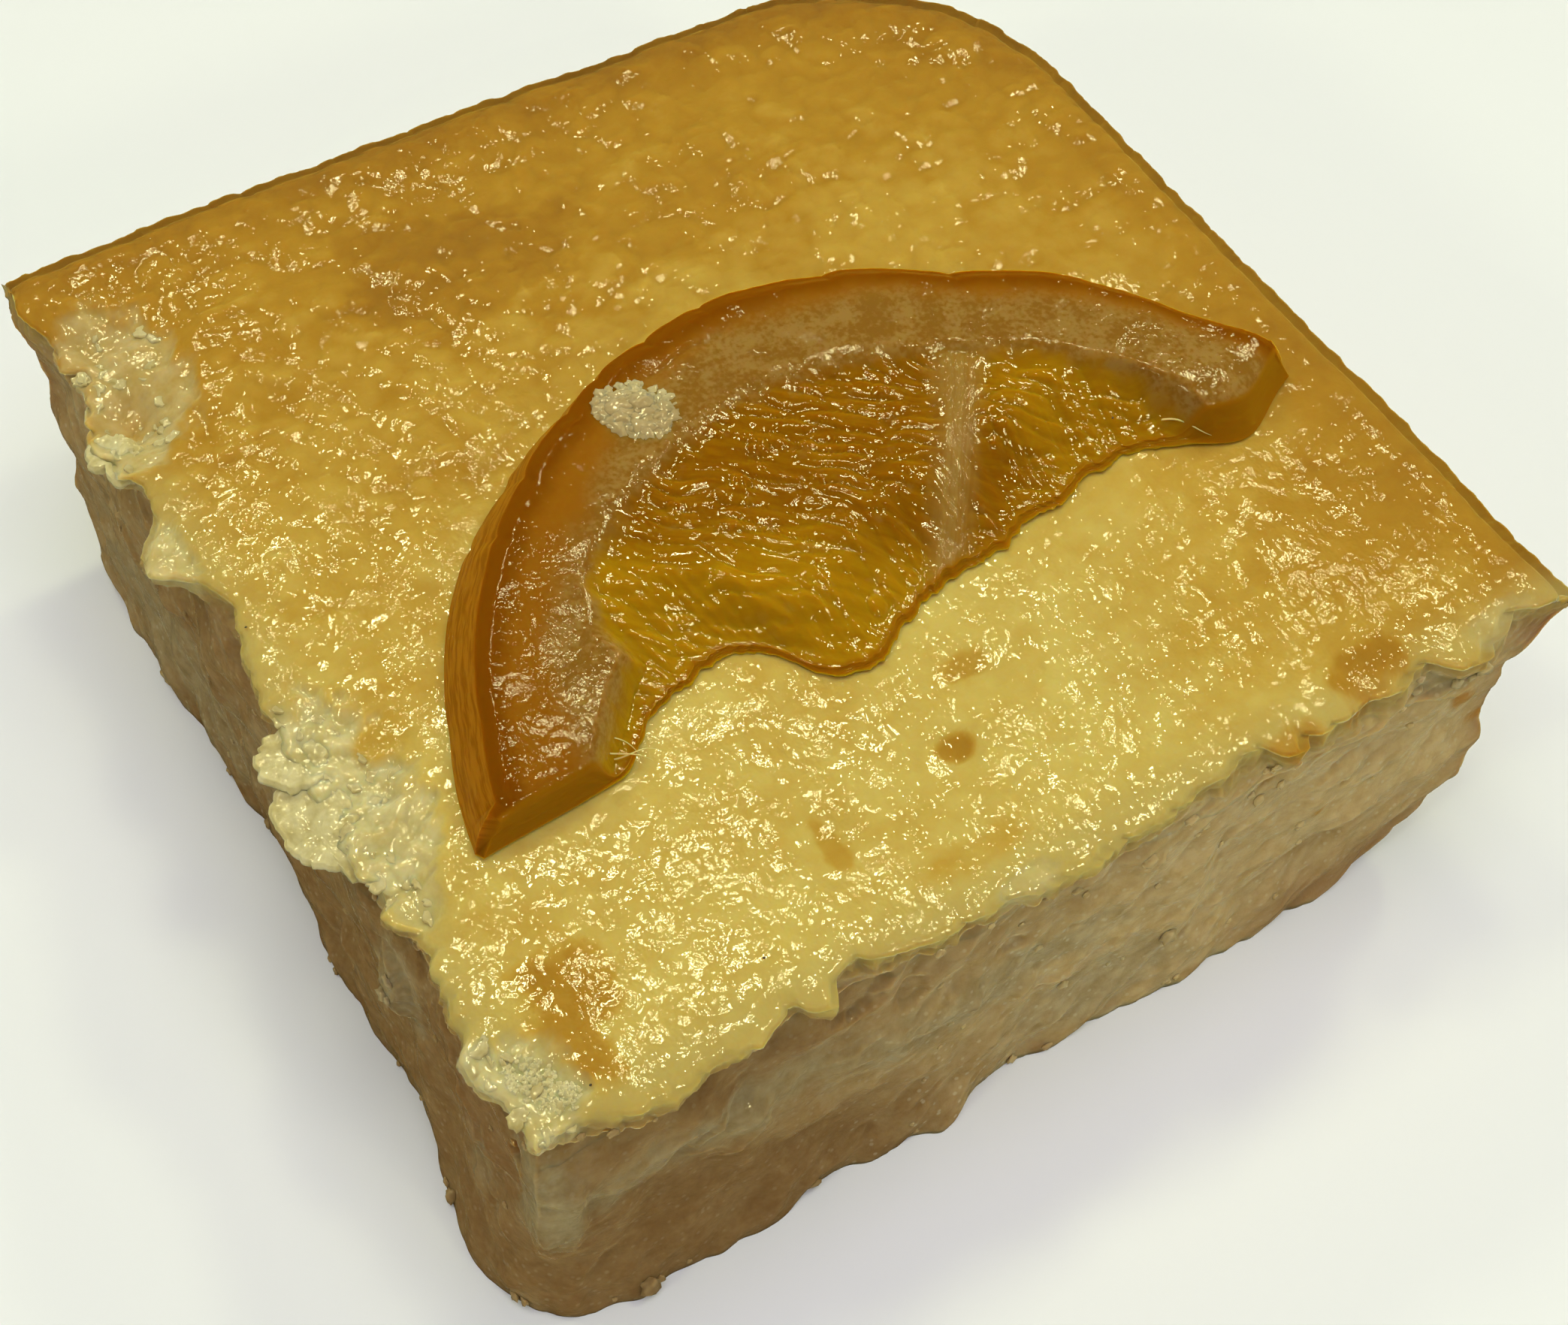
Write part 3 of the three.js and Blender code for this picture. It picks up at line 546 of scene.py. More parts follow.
def make_piece(name, points, faces, material, masks):
    """A smooth mesh from points in work millimetres; a mask is one number, or one for each point."""
    mesh = bpy.data.meshes.new(name)
    place = (np.asarray(points) - MIDDLE) * MM
    place[:, 2] = np.maximum(place[:, 2], 0)
    mesh.from_pydata(place.tolist(), [], [list(map(int, face)) for face in faces])
    for mask, values in masks.items():
        layer = mesh.attributes.new(mask, "FLOAT", "POINT")
        spread = np.broadcast_to(np.ravel(values), len(points))
        layer.data.foreach_set("value", np.ascontiguousarray(spread, dtype=np.float32))
    mesh.validate()
    mesh.shade_smooth()
    mesh.materials.append(material)
    piece = bpy.data.objects.new(name, mesh)
    bpy.context.scene.collection.objects.link(piece)
    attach(piece, "root")
    return piece


def finer_at_cuts(share):
    """Moves the grid's lines closer together near the two cut faces."""
    return share * (0.86 + 0.14 * share)


# Masks of the cake's colour and gloss

def patch_share(x, y):
    """Browner patches of the crust; where two lie on each other, the stronger one shows."""
    return strongest(x, y, BROWN_PATCHES, 0.3 * rough(x / 2.4, y / 2.4, 71, 3), 0.6, 1.15)


def brown_share(x, y):
    """How browned the crust is: pale at the front, browner at the back, the right and the pan's rim."""
    rim = distance_from_pan(x, y)
    brown = 0.04 + 0.61 * smooth(y, 14, 84)
    brown = brown + 0.36 * smooth(x, 44, 78) * fade(y, 25, 60)
    brown = brown + 0.28 * bell(rim, 3.4) + 0.07 * smooth(x, 62, 72) * smooth(y, 35, 50)
    brown = brown + bell(y - 77, 4) * (0.05 * smooth(x, 20, 36) - 0.06 * fade(x, 10, 30))
    brown = brown + patch_share(x, y) + 0.07 * rough(x / 9, y / 9, 72, 2)
    return brown + 0.05 * rough(x / 3, y / 3, 73, 2)


def damp_and_shade_share(x, y, z):
    """Where the crumb is darker and browner: partly with syrup low on the cuts, partly painted shade
    that is deepest near the front corner and lighter to the right and to the back.
    """
    front_line = 17.5 - 0.42 * x + 0.004 * x * x + 1.2 * swell(x / 7, 0.5, 81)
    band = fade(z, front_line - 1.2, front_line + 1.6) * fade(x, 24, 40)
    front = 0.8 * fade(x + 0.35 * (z - 10), 8, 50) + 0.32 * band
    front = front + 0.26 * bell(z - 21.5, 3) * smooth(x, 8, 14) * fade(x, 38, 52)
    front = front + 0.25 * smooth(x, 54, 60) * fade(z, 8, 14)
    left = 1.0 - 0.3 * smooth(y, 50, 72) - 0.12 * smooth(z, 12, 22) * smooth(y, 14, 24)
    on_left = smooth(y - x, -0.5, 1.5)
    return np.clip(lerp(front, left, on_left) + 0.14 * swell((x + y) / 3, z / 3, 83), 0, 1)


def gloss_share(x, y):
    """How wet the top is: fully at the front and the left, less at the back and the right."""
    dry = 0.4 * smooth(y, 44, 60) + 0.55 * smooth(x, 44, 62) * fade(y, 44, 60)
    return np.clip(1 - dry + 0.18 * swell(x / 6, y / 6, 74), 0.2, 1)


def lively_share(x, y):
    """How crinkled the film is: most beside the slice at the left."""
    left = fade(x, 22, 34) * smooth(y, 16, 26) * fade(y, 48, 58)
    return 0.75 + 0.55 * left - 0.25 * smooth(x, 46, 60)


def cake_masks(points, own):
    """Numbers for the cake's colours; own gives the shares that the maker already knows."""
    x, y, z = np.moveaxis(points, -1, 0)
    spots = smooth(rough(x / 3 + 7, y / 3 + z / 3, 84, 2), 0.35, 0.8)
    on_top = smooth(z, HEIGHT - 2.2, HEIGHT - 1.2)
    # painted reflection and shade: pinkish brown low on the walls at the right end, darker on the left
    # face near the front corner
    reflection_and_shade_low_right = 0.65 * fade(z, 2, 7) * smooth(x, 54, 64)
    shade_near_corner = 0.4 * bell(y - 7, 6) * bell(z - 17, 8) * smooth(y - x, 0, 2)
    # the pan's real browning of the sides and spots on the base, before the painted reflection and
    # shade are added
    baked_and_shade = bell(distance_from_pan(x, y), 3.0) * (z < HEIGHT - 2.5) + 0.7 * spots * bell(z, 1.3)
    rim = bell(x, 2.6) * fade(y, 52, 62) + bell(y, 2.2) - 2.2 * patch_share(x, y)
    masks = {
        "crust": 0.0,
        "ledge": 0.0,
        "pale": top_grains(x, y),
        "grainy": 0.0,
        "brown": brown_share(x, y),
        "hill": skin_hills(x, y) * on_top,
        "rim": np.clip(rim, 0, 1),
        "torn": torn_share(x, y) * smooth(z, HEIGHT - 4, HEIGHT - 1.8),
        "damp_and_shade": damp_and_shade_share(x, y, z),
        "grey": spots_at(points, GREY_SPOTS),
        "spot": spots_at(points, BROWN_SPOTS),
        "baked_and_shade": np.clip(baked_and_shade + reflection_and_shade_low_right + shade_near_corner, 0, 1),
        "gloss": lerp(0.85, gloss_share(x, y), on_top),
        "lively": lively_share(x, y),
    }
    masks.update(own)
    return masks


def make_cake_piece(name, points, faces, material, own):
    return make_piece(name, points, faces, material, cake_masks(points, own))


def build_crust(material):
    """The top and the upper part of the walls; gives back the ring of points where the crumb starts."""
    line = finer_at_cuts(np.arange(TOP_CELLS + 1) / TOP_CELLS)
    s, t = np.meshgrid(line, line)
    top = top_points(s, t).reshape(-1, 3)
    grid = quads(TOP_CELLS + 1, TOP_CELLS + 1, False)
    index = np.arange((TOP_CELLS + 1) ** 2).reshape(TOP_CELLS + 1, -1)
    rim = np.concatenate([index[0, :-1], index[:-1, -1], index[-1, :0:-1], index[:0:-1, 0]])
    rim_s, rim_t, rim_height = s.ravel()[rim], t.ravel()[rim], top[rim, 2]
    levels = np.linspace(SEAM_LEVEL, 1, LIP_ROWS + 1)[:-1]
    z = levels[:, None] * rim_height[None, :]
    lip, lip_masks = wall_points(*np.broadcast_arrays(rim_s, rim_t, z))
    on_top = {"crust": 1.0, "ledge": 0.0, "pale": top_grains(*top[:, :2].T), "grainy": 0.0}
    own = {name: np.concatenate([np.broadcast_to(values, len(top)), lip_masks[name].ravel()])
           for name, values in on_top.items()}
    rows = np.concatenate([len(top) + np.arange(LIP_ROWS * len(rim)), rim])
    faces = np.concatenate([grid, rows[quads(LIP_ROWS + 1, len(rim), True)]])
    points = np.concatenate([top, lip.reshape(-1, 3)])
    piece = make_cake_piece("cake_crust", points, faces, material, own)
    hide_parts("cake")
    return rim_s, rim_t, levels[0] * rim_height


def build_crumb(material, rim_s, rim_t, seam_height):
    """The walls below the crust's piece, down to the flat base."""
    levels = np.linspace(0, 1, CRUMB_ROWS + 1)
    z = levels[:, None] * seam_height[None, :]
    points, own = wall_points(*np.broadcast_arrays(rim_s, rim_t, z))
    own = {name: values.ravel() for name, values in own.items()}
    base = list(range(len(rim_s) - 1, -1, -1))
    faces = [*quads(CRUMB_ROWS + 1, len(rim_s), True), base]
    piece = make_cake_piece("cake_crumb", points.reshape(-1, 3), faces, material, own)
    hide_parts("cake")


# Torn plates, crumbs, fibres and specks

def joined(parts):
    """Several closed shapes as one list of points and one of faces."""
    points, faces, count = [], [], 0
    for part_points, part_faces in parts:
        points.append(part_points)
        faces += [[index + count for index in face] for face in part_faces]
        count += len(part_points)
    return np.concatenate(points), faces


def caps(top, bottom, last, count):
    """Triangles that close the first and the last ring of a grid with one point each."""
    faces = []
    for k in range(count):
        following = (k + 1) % count
        faces.append([top, k, following])
        faces.append([bottom, last + following, last + k])
    return faces


def plate(outline, high, low, thickness, seed, rings=24, spokes=160, teeth=46):
    """A torn plate that droops from its inner side to its outer one, with a broken edge."""
    corners = np.array(outline)
    middle = corners.mean(0)
    turns = np.arctan2(corners[:, 1] - middle[1], corners[:, 0] - middle[0])
    turn = 2 * math.pi * np.arange(spokes) / spokes
    reach = np.interp(turn, turns, np.linalg.norm(corners - middle, axis=1), period=2 * math.pi)
    number = np.arange(teeth)
    at = np.cumsum(0.6 + 1.4 * lattice(number, seed, 1))
    chipped = 0.34 * (lattice(number, seed, 2) - 0.5)
    reach = reach + np.interp(turn, 2 * math.pi * at / at[-1], chipped, period=2 * math.pi)
    c, d = np.cos(turn), np.sin(turn)
    r = np.sqrt(np.arange(1, rings + 1) / rings)[:, None]
    x, y = middle[0] + r * reach * c, middle[1] + r * reach * d
    outward = smooth(-x, -corners[:, 0].max(), -corners[:, 0].min())
    top = lerp(high, low, outward) + 0.24 * rough(x / 2.0, y / 2.0, seed + 3, 4) - 0.15
    edge = smooth(r, 0.9, 1.0)
    upper = np.stack([x, y, top - 0.25 * thickness * edge], -1)
    lower = np.stack([x, y, top - thickness * (1 - 0.45 * edge)], -1)
    rows = np.concatenate([upper, lower[::-1]]).reshape(-1, 3)
    centre_top = [*middle, top[0].mean()]
    points = np.concatenate([rows, [centre_top, [*middle, top[0].mean() - thickness]]])
    faces = quads(2 * rings, spokes, True)[:, ::-1].tolist()
    return points, faces + caps(len(rows), len(rows) + 1, (2 * rings - 1) * spokes, spokes)


def build_flakes(material):
    """The torn plates that hang over the left cut face."""
    points, faces = joined([plate(*flake, 200 + 9 * k) for k, flake in enumerate(FLAKES)])
    make_cake_piece("torn_flakes", points, faces, material, {"torn": 1.0})


def blobs(centres, radii, seed, rows=7, columns=11):
    """Small uneven round bodies; each has three half sizes."""
    centres, radii = np.atleast_2d(centres), np.atleast_2d(radii)
    up = math.pi * np.arange(1, rows)[:, None] / rows
    turn = 2 * math.pi * np.arange(columns) / columns
    rings = np.broadcast_arrays(np.sin(up) * np.cos(turn), np.sin(up) * np.sin(turn), np.cos(up))
    unit = np.concatenate([np.stack(rings, -1).reshape(-1, 3), [[0, 0, 1], [0, 0, -1]]])
    number = np.arange(len(centres))[:, None]
    a, b = 1.6 * unit[:, 0] + 7.3 * number, 1.6 * unit[:, 1] + unit[:, 2] + 3.1 * number
    uneven = swell(a, b, seed)
    points = centres[:, None] + radii[:, None] * unit[None] * (1 + 0.42 * uneven)[..., None]
    one = quads(rows - 1, columns, True)[:, ::-1].tolist()
    one += caps(len(unit) - 2, len(unit) - 1, (rows - 2) * columns, columns)
    faces = [[index + k * len(unit) for index in face] for k in range(len(centres)) for face in one]
    return points.reshape(-1, 3), faces


def top_height(x, y):
    """Height of the finished top at one place."""
    x, y = np.array([x]), np.array([y])
    return float((plain_top(x, y) + top_detail(x, y))[0])


def plain_height(x, y):
    """Height of the solid's top at one place."""
    return float(plain_top(np.array(x), np.array(y)))


def place_in_disc(draw):
    """Direction and distance from the middle of a random place in a disc of radius one."""
    return draw.uniform(0, 2 * math.pi), math.sqrt(draw.uniform(0, 1))


def build_crumbs(material):
    """Crumbs that stand out on the cut faces, hang under the crust's edge and lie at the foot."""
    draw = np.random.default_rng(7)
    centres, radii = [], []

    def on_face(side, along, z, size, sunk):
        s, t, across = (along / WIDTH, 0.0, 1) if side == "front" else (0.0, along / DEPTH, 0)
        place = wall_points(np.array([s]), np.array([t]), np.array([z]))[0][0]
        half_sizes = size * draw.uniform(0.7, 1.3, 3)
        half_sizes[across] = 0.6 * size
        place[across] -= half_sizes[across] * (1 - sunk)
        centres.append(place)
        radii.append(half_sizes)

    for side, length, first in (("front", WIDTH - 9, 30), ("left", DEPTH - 8, 2)):
        for _ in range(FACE_CRUMBS):
            along, z = draw.uniform(first, length), draw.uniform(2, 25)
            on_face(side, along, z, 0.2 + 0.3 * draw.beta(1, 3), 0.95)
        for _ in range(FOOT_CRUMBS):
            along, z = draw.uniform(0.5, length), draw.uniform(0.3, 1.2)
            on_face(side, along, z, draw.uniform(0.25, 0.45), 0.7)
        for _ in range(CRUST_CRUMBS):
            along, z = draw.uniform(0.5, length), draw.uniform(25.2, 26.6)
            on_face(side, along, z, draw.uniform(0.2, 0.4), 0.6)
    for side, along, z, size in NAMED_CRUMBS:
        on_face(side, along, z, 0.8 * size, 0.85)
    points, faces = blobs(centres, radii, 301)
    make_cake_piece("crumbs", points, faces, material, {"torn": 0.12, "pale": LOOSE_PALE})


def build_chips(material):
    """Small angular chips of torn crumb that lie on the torn places."""
    draw = np.random.default_rng(17)
    regions = TORN[:CHIP_REGIONS]
    areas = np.array([rx * ry for _, _, rx, ry, _ in regions])
    parts = []
    for number in range(CHIP_COUNT):
        cx, cy, rx, ry, _ = regions[draw.choice(len(regions), p=areas / areas.sum())]
        turn, reach = place_in_disc(draw)
        x = max(cx + rx * reach * math.cos(turn), 0.4)
        y = max(cy + ry * reach * math.sin(turn), 0.4)
        corners = draw.integers(4, 7)
        turns = 2 * math.pi * (np.arange(corners) + draw.uniform(-0.3, 0.3, corners)) / corners
        reaches = CHIP_SIZE * draw.uniform(0.5, 1.4, corners)
        outline = [(x + r * math.cos(a), y + r * math.sin(a)) for a, r in zip(turns, reaches)]
        z, tilt = top_height(x, y) + draw.uniform(-0.05, 0.15), draw.uniform(-0.25, 0.25)
        parts.append(plate(outline, z + tilt, z - tilt, CHIP_THICKNESS, 400 + number, 5, 20))
    points, faces = joined(parts)
    make_cake_piece("torn_chips", points, faces, material, {"torn": 0.85})


def build_pebbles(material):
    """The pebbly patch of small round grains at the front corner."""
    draw = np.random.default_rng(13)
    centres, radii = [], []
    c, d = math.cos(PEBBLES["turn"]), math.sin(PEBBLES["turn"])
    for _ in range(PEBBLES["count"]):
        turn, reach = place_in_disc(draw)
        a, b = PEBBLES["along"] * reach * math.cos(turn), PEBBLES["across"] * reach * math.sin(turn)
        x, y = PEBBLES["x"] + a * c + b * d, PEBBLES["y"] - a * d + b * c
        size = draw.uniform(0.15, 0.27)
        centres.append([x, y, top_height(x, y) - 0.55 * size])
        radii.append(size * draw.uniform(0.85, 1.15, 3))
    points, faces = blobs(centres, radii, 304, 8, 12)
    own = {"torn": 1.0, "pale": LOOSE_PALE, "damp_and_shade": 0.0}
    make_cake_piece("pebbly_grains", points, faces, material, own)


def build_pith_crumb(material):
    """The lump of wet crumb that sticks to the pith."""
    draw = np.random.default_rng(11)
    centres, radii = [], []
    for _ in range(PITH_GRAINS):
        turn, reach = place_in_disc(draw)
        x = PITH_CRUMB["x"] + PITH_CRUMB["long"] * reach * math.cos(turn + 0.3)
        y = PITH_CRUMB["y"] + PITH_CRUMB["wide"] * reach * math.sin(turn)
        grainy = 0.5 + 0.5 * math.tanh((x - PITH_CRUMB["x"] + y - PITH_CRUMB["y"]) / 1.5)
        size = lerp(0.95, 0.5, grainy) * draw.uniform(0.8, 1.2) * (1.1 - 0.4 * reach)
        lift = PEEL_THICKNESS + SLICE_GAP + 0.4 * (1 - reach) * draw.uniform(0.0, 1.0)
        centres.append([x, y, plain_height(x, y) + lift - 0.2 + 0.1 * grainy])
        radii.append(size * draw.uniform(0.75, 1.25, 3) * [1.1, 1.1, 0.45])
    points, faces = blobs(centres, radii, 302, 9, 14)
    # partly painted light: the lump is paler towards +X and +Y, where its crumb is also grainier
    bright = smooth(points[:, 0] - PITH_CRUMB["x"] + points[:, 1] - PITH_CRUMB["y"], -1.0, 3.0)
    own = {"torn": 0.25 + 0.45 * bright ** 2, "pale": LOOSE_PALE, "damp_and_shade": 0.6}
    make_cake_piece("crumb_on_pith", points, faces, material, own)


def build_specks(material):
    """Tiny dark specks on the crust and one on the flesh."""
    centres = []
    for x, y, on_slice in SPECKS:
        lift = SPECK_ON_FLESH if on_slice else SPECK_LIFT
        centres.append([x, y, plain_height(x, y) + lift])
    points, faces = blobs(centres, [SPECK_HALF_SIZES] * len(centres), 303, 6, 9)
    make_piece("specks", points, faces, material, {})


def build_fibres(material):
    """Pale fibres of membrane that stick out of the slice's cut edge."""
    parts, steps, sides = [], 18, 6
    for start, end, lift, radius in FIBRES:
        share = np.linspace(0, 1, steps)[:, None]
        line = lerp(np.array(start), np.array(end), share)
        line[:, 2] += (lift * np.sin(math.pi * share))[:, 0]
        line[:, :2] += 0.15 * np.sin(5 * share + start[0])
        along = np.array(end) - np.array(start)
        along = along / np.linalg.norm(along)
        side = np.cross(along, [0, 0, 1.0])
        side = side / np.linalg.norm(side)
        up = np.cross(side, along)
        turn = 2 * math.pi * np.arange(sides) / sides
        thin = radius * (1 - 0.8 * share ** 2)[:, None]
        ring = np.cos(turn)[None, :, None] * side + np.sin(turn)[None, :, None] * up
        points = (line[:, None] + thin * ring).reshape(-1, 3)
        faces = quads(steps, sides, True).tolist()
        faces.append(list(range(sides))[::-1])
        faces.append(list(range((steps - 1) * sides, steps * sides)))
        parts.append((points, faces))
    points, faces = joined(parts)
    make_piece("membrane_fibres", points, faces, material, {})


# The candied slice

def peel_edge(share):
    """The slice's round outer edge, from its left tip to its right one."""
    angle = lerp(SLICE_START, SLICE_END, share)
    degrees = np.degrees(angle)
    radius = SLICE_RADIUS - 0.7 * bell(degrees - 160, 14) - 1.1 * bell(degrees - 60, 9)
    radius = radius + 2.9 * bell(degrees - 17, 13) + 0.16 * swell(degrees / 6, 0.5, 121)
    for notch in PEEL_NOTCHES:
        radius = radius - 0.3 * np.exp(-np.abs(degrees - notch) / 0.9)
    return SLICE_CENTRE + radius[..., None] * np.stack([np.cos(angle), np.sin(angle)], -1)


def cut_edge(share):
    """The slice's cut edge, sagging and frayed, with its notch and bulges."""
    first, last = peel_edge(np.array(0.0)), peel_edge(np.array(1.0))
    x = lerp(first[0], last[0], share)
    y = lerp(first[1], last[1], share) - CUT_SAG * np.sin(math.pi * share)
    y = y + CUT_NOTCH_DEPTH * smooth(x, 16.5, 21.5) * fade(x, 27.5, 33)
    y = y - sum(out * bell(x - at, half) for at, half, out in CUT_BULGES)
    frayed = smooth(x, 17, 20) * fade(x, 60, 66)
    y = y + frayed * (0.42 * rough(x / 1.5, 0.5, 131, 3) + 0.3 * swell(x / 3.4, 0.5, 132))
    return np.stack([x, y], -1)


def top_edges(share):
    """Both edges at the slice's top, which lean inward from those at its foot."""
    along = lerp(SLICE_TIP_LEAN, 1 - SLICE_TIP_LEAN, share)
    outer, inner = peel_edge(along), cut_edge(along)
    width = np.linalg.norm(outer - inner, axis=-1)
    outer_lean = 0.4 + 2.3 * fade(along, 0.2, 0.55) + 1.2 * smooth(along, 0.85, 1)
    inner_lean = 0.15 + 0.3 * smooth(along, 0.2, 0.3) + 0.9 * smooth(along, 0.8, 0.95)
    lean = np.minimum(1, 0.7 * width / (outer_lean + inner_lean)) / width
    outer_share, inner_share = (outer_lean * lean)[..., None], (1 - inner_lean * lean)[..., None]
    return lerp(outer, inner, outer_share), lerp(outer, inner, inner_share)


def slice_shares(x, y):
    """How much a place of the slice's top is flesh and spoke, its colour border, and spoke places."""
    radius = np.hypot(x - SLICE_CENTRE[0], y - SLICE_CENTRE[1])
    pith_width = lerp(PITH_WIDTH, PITH_WIDTH_RIGHT, smooth(x, 50, 64))
    wavy = 0.5 * swell(x / 2.6, y / 2.6, 91)
    border = SLICE_RADIUS - pith_width + wavy
    flesh = fade(radius, border - 1.3, border + 0.7)
    start = FLESH_START_X + FLESH_START_SLOPE * np.clip(y - FLESH_START_Y, 0, FLESH_START_REACH)
    flesh = flesh * smooth(x + wavy, start - 1.0, start + 1.0)
    frayed = 0.35 * rough(x / 1.2, y / 1.2, 87, 2)
    pulp = fade(radius + frayed, border - 0.4, border + 0.4)
    pulp = pulp * smooth(x + wavy + frayed, start - 0.6, start + 0.6)
    along = np.clip((y - SPOKE_FOOT[1]) / (SPOKE_TOP[1] - SPOKE_FOOT[1]), 0, 1)
    across = x - lerp(SPOKE_FOOT[0], SPOKE_TOP[0], along) + 0.3 * wavy
    spread = 0.9 * smooth(y, 31, 37) - 0.5 * fade(y, 19, 25) + 0.3 * swell(x / 1.3, y / 3.5, 88)
    low, high = SPOKE_HALF_WIDTH - 1.5, SPOKE_HALF_WIDTH + 0.6
    spoke = flesh * fade(np.abs(across) - spread, low, high)
    membrane = 0.5 * bell(radius + frayed - border + 0.2, 0.4) * smooth(x, 20, 24)
    return flesh, spoke, np.maximum(pulp - membrane, 0), across


def juice_sacs(x, y):
    """Long rounded ridges of the flesh, from 0 to 1."""
    right = smooth(x - 0.73 * (y - 27), 46, 49)
    angle = lerp(math.radians(-38), math.radians(-32), right) + 0.1 * swell(x / 8, y / 8, 92)
    middle_x, middle_y = lerp(36.0, 58.0, right), lerp(29.0, 27.0, right)
    u = (x - middle_x) * np.cos(angle) + (y - middle_y) * np.sin(angle)
    v = -(x - middle_x) * np.sin(angle) + (y - middle_y) * np.cos(angle)
    u = u + 0.8 * swell(x / 2.5, y / 2.5, 93)
    v = v + 0.4 * swell(x / 2.8, y / 2.8, 94)
    first, second, own = cells(u / 5.2, v / 1.3, 95)
    ridge = smooth(second - first, 0, 0.5) * (0.35 + 0.65 * own)
    return ridge, own, u, v


def bubble_height(x, y):
    """Small round juice bubbles that stand out of the flesh."""
    height = np.zeros(x.shape)
    for cx, cy, r in BUBBLES:
        distance = np.hypot(x - cx, y - cy) / r
        height = height + 0.45 * r * np.sqrt(np.maximum(0, 1 - distance ** 2))
    return height


def slice_top_height(x, y, across, q):
    """Thickness of the slice with its fine relief, and the masks that belong to it."""
    to_cut, to_rim = (1 - q) * across, q * across
    flesh, spoke, pulp, from_spoke = slice_shares(x, y)
    ridge, own, u, v = juice_sacs(x, y)
    body = lerp(FLESH_EDGE_THICKNESS, FLESH_THICKNESS, smooth(to_cut, 0, FLESH_RISE))
    body = body + smooth(to_cut, 0, 2) * (0.26 * swell(x / 4, y / 4, 9) + 0.26 * (ridge - 0.5))
    rounding = 1 - np.clip(to_cut / PITH_ROUNDING, 0, 1)
    pith = PEEL_THICKNESS - PITH_TIP_DROP * (1 - np.sqrt(1 - rounding ** 2.4 * 0.999))
    pith = pith + 0.1 * swell(x / 3.4, y / 3.4, 97) + 0.02 * rough(x / 0.8, y / 0.8, 98, 2)
    thickness = lerp(pith, body, flesh)
    strands = 0.025 * swell(from_spoke / 0.45 + 0.5 * swell(x / 4, y / 4, 85), y / 5, 99)
    spoke_body = lerp(FLESH_EDGE_THICKNESS + 0.2, SPOKE_THICKNESS, smooth(to_cut, -1, 8)) + strands
    thickness = lerp(thickness, spoke_body, spoke) + bubble_height(x, y) * flesh
    rim = fade(to_rim + 0.25 * rough(x / 2, y / 2, 86, 2), 1.3, 3.4)
    glands = -0.05 * rim * dome(x / 1.1, y / 1.1, 90)
    drop = PEEL_EDGE_DROP * fade(to_rim, 0, PEEL_WIDTH)
    from_crease = y - 44.2 - 0.25 * (x - 36) + 0.4 * swell(x / 3, 0.5, 89)
    crease = -0.16 * bell(from_crease, 0.3) * bell(x - 36, 4)
    shares = {"flesh": pulp, "spoke": spoke, "rind": rim, "sac": 0.6 * ridge + 0.4 * own,
              "sac_u": u, "sac_v": v, "strand": from_spoke}
    return thickness + glands - drop + crease * (1 - flesh), shares


def slice_base(x, y):
    """Height of the slice's underside, just over the crust."""
    return plain_top(x, y) + SLICE_GAP


def slice_wall(start, end, share, out, bulge, streak_seed):
    """Rows of points between two edges of the slice, bulged and lightly streaked."""
    w = np.arange(1, SLICE_WALL_STEPS) / SLICE_WALL_STEPS
    place = lerp(start[:, None], end[:, None], w[None, :, None])
    arc = (share * SLICE_ARC)[:, None] * np.ones_like(w)[None, :]
    streaks = 0.05 * swell(arc / 3.2, w[None, :] * 4 / 0.5, streak_seed)
    streaks = streaks + 0.06 * rough(arc / 1.7, w[None, :] * 4 / 1.5, streak_seed + 1, 2)
    push = bulge * np.sin(math.pi * w)[None, :] + streaks * np.sin(math.pi * w)[None, :] ** 0.5
    place[..., :2] += out[:, None] * push[..., None]
    return place


def slice_masks(share, top, across, q, shares):
    """Numbers for the slice's colours: on its base, outer wall, top and inner wall in turn."""
    x, y, rows = top[..., 0], top[..., 1], len(share)

    def mask(on_base, on_outer, on_top, on_inner):
        parts = ((on_base, SLICE_BASE_STEPS + 1), (on_outer, SLICE_WALL_STEPS - 1),
                 (on_top, SLICE_TOP_STEPS + 1), (on_inner, SLICE_WALL_STEPS - 1))
        return np.concatenate([np.broadcast_to(value, (rows, width)) for value, width in parts], 1)

    masks = {name: mask(0.0, 0.0, values, values[:, -1:]) for name, values in shares.items()}
    masks["wall"] = mask(0.0, 1.0, 0.0, 0.0)
    masks["cut"] = mask(0.0, 0.0, smooth(q * across, across - 0.5, across - 0.1), 1.0)
    degrees = np.degrees(lerp(SLICE_START, SLICE_END, share))[:, None]
    frost_from = 3.4 + 2.4 * smooth(degrees, 95, 130) + 2.4 * smooth(degrees, 142, 160)
    frost_from = frost_from + 0.6 * swell(x / 2.5, y / 2.5, 96)
    masks["deep"] = mask(0.0, 0.0, smooth(q * across - frost_from, -1.8, 1.4), 0.3)
    to_edge = np.minimum(q * across, 0.6 + (1 - q) * across)
    top_gloss = lerp(0.65, 0.9, shares["flesh"]) * smooth(to_edge, 0.1, 1.4)
    masks["gloss"] = mask(0.15, 0.15, top_gloss, 0.15)
    lower = fade(y + 0.5 * x + 1.5 * swell(x / 5, y / 5, 84), 40.0, 48.0)
    masks["lower"] = mask(0.0, 0.0, np.maximum(lower, 0.6 * smooth(x, 50, 56)), 0.5)
    arc = (share * SLICE_ARC)[:, None]
    masks["arc"] = mask(arc, arc, arc, arc)
    return masks


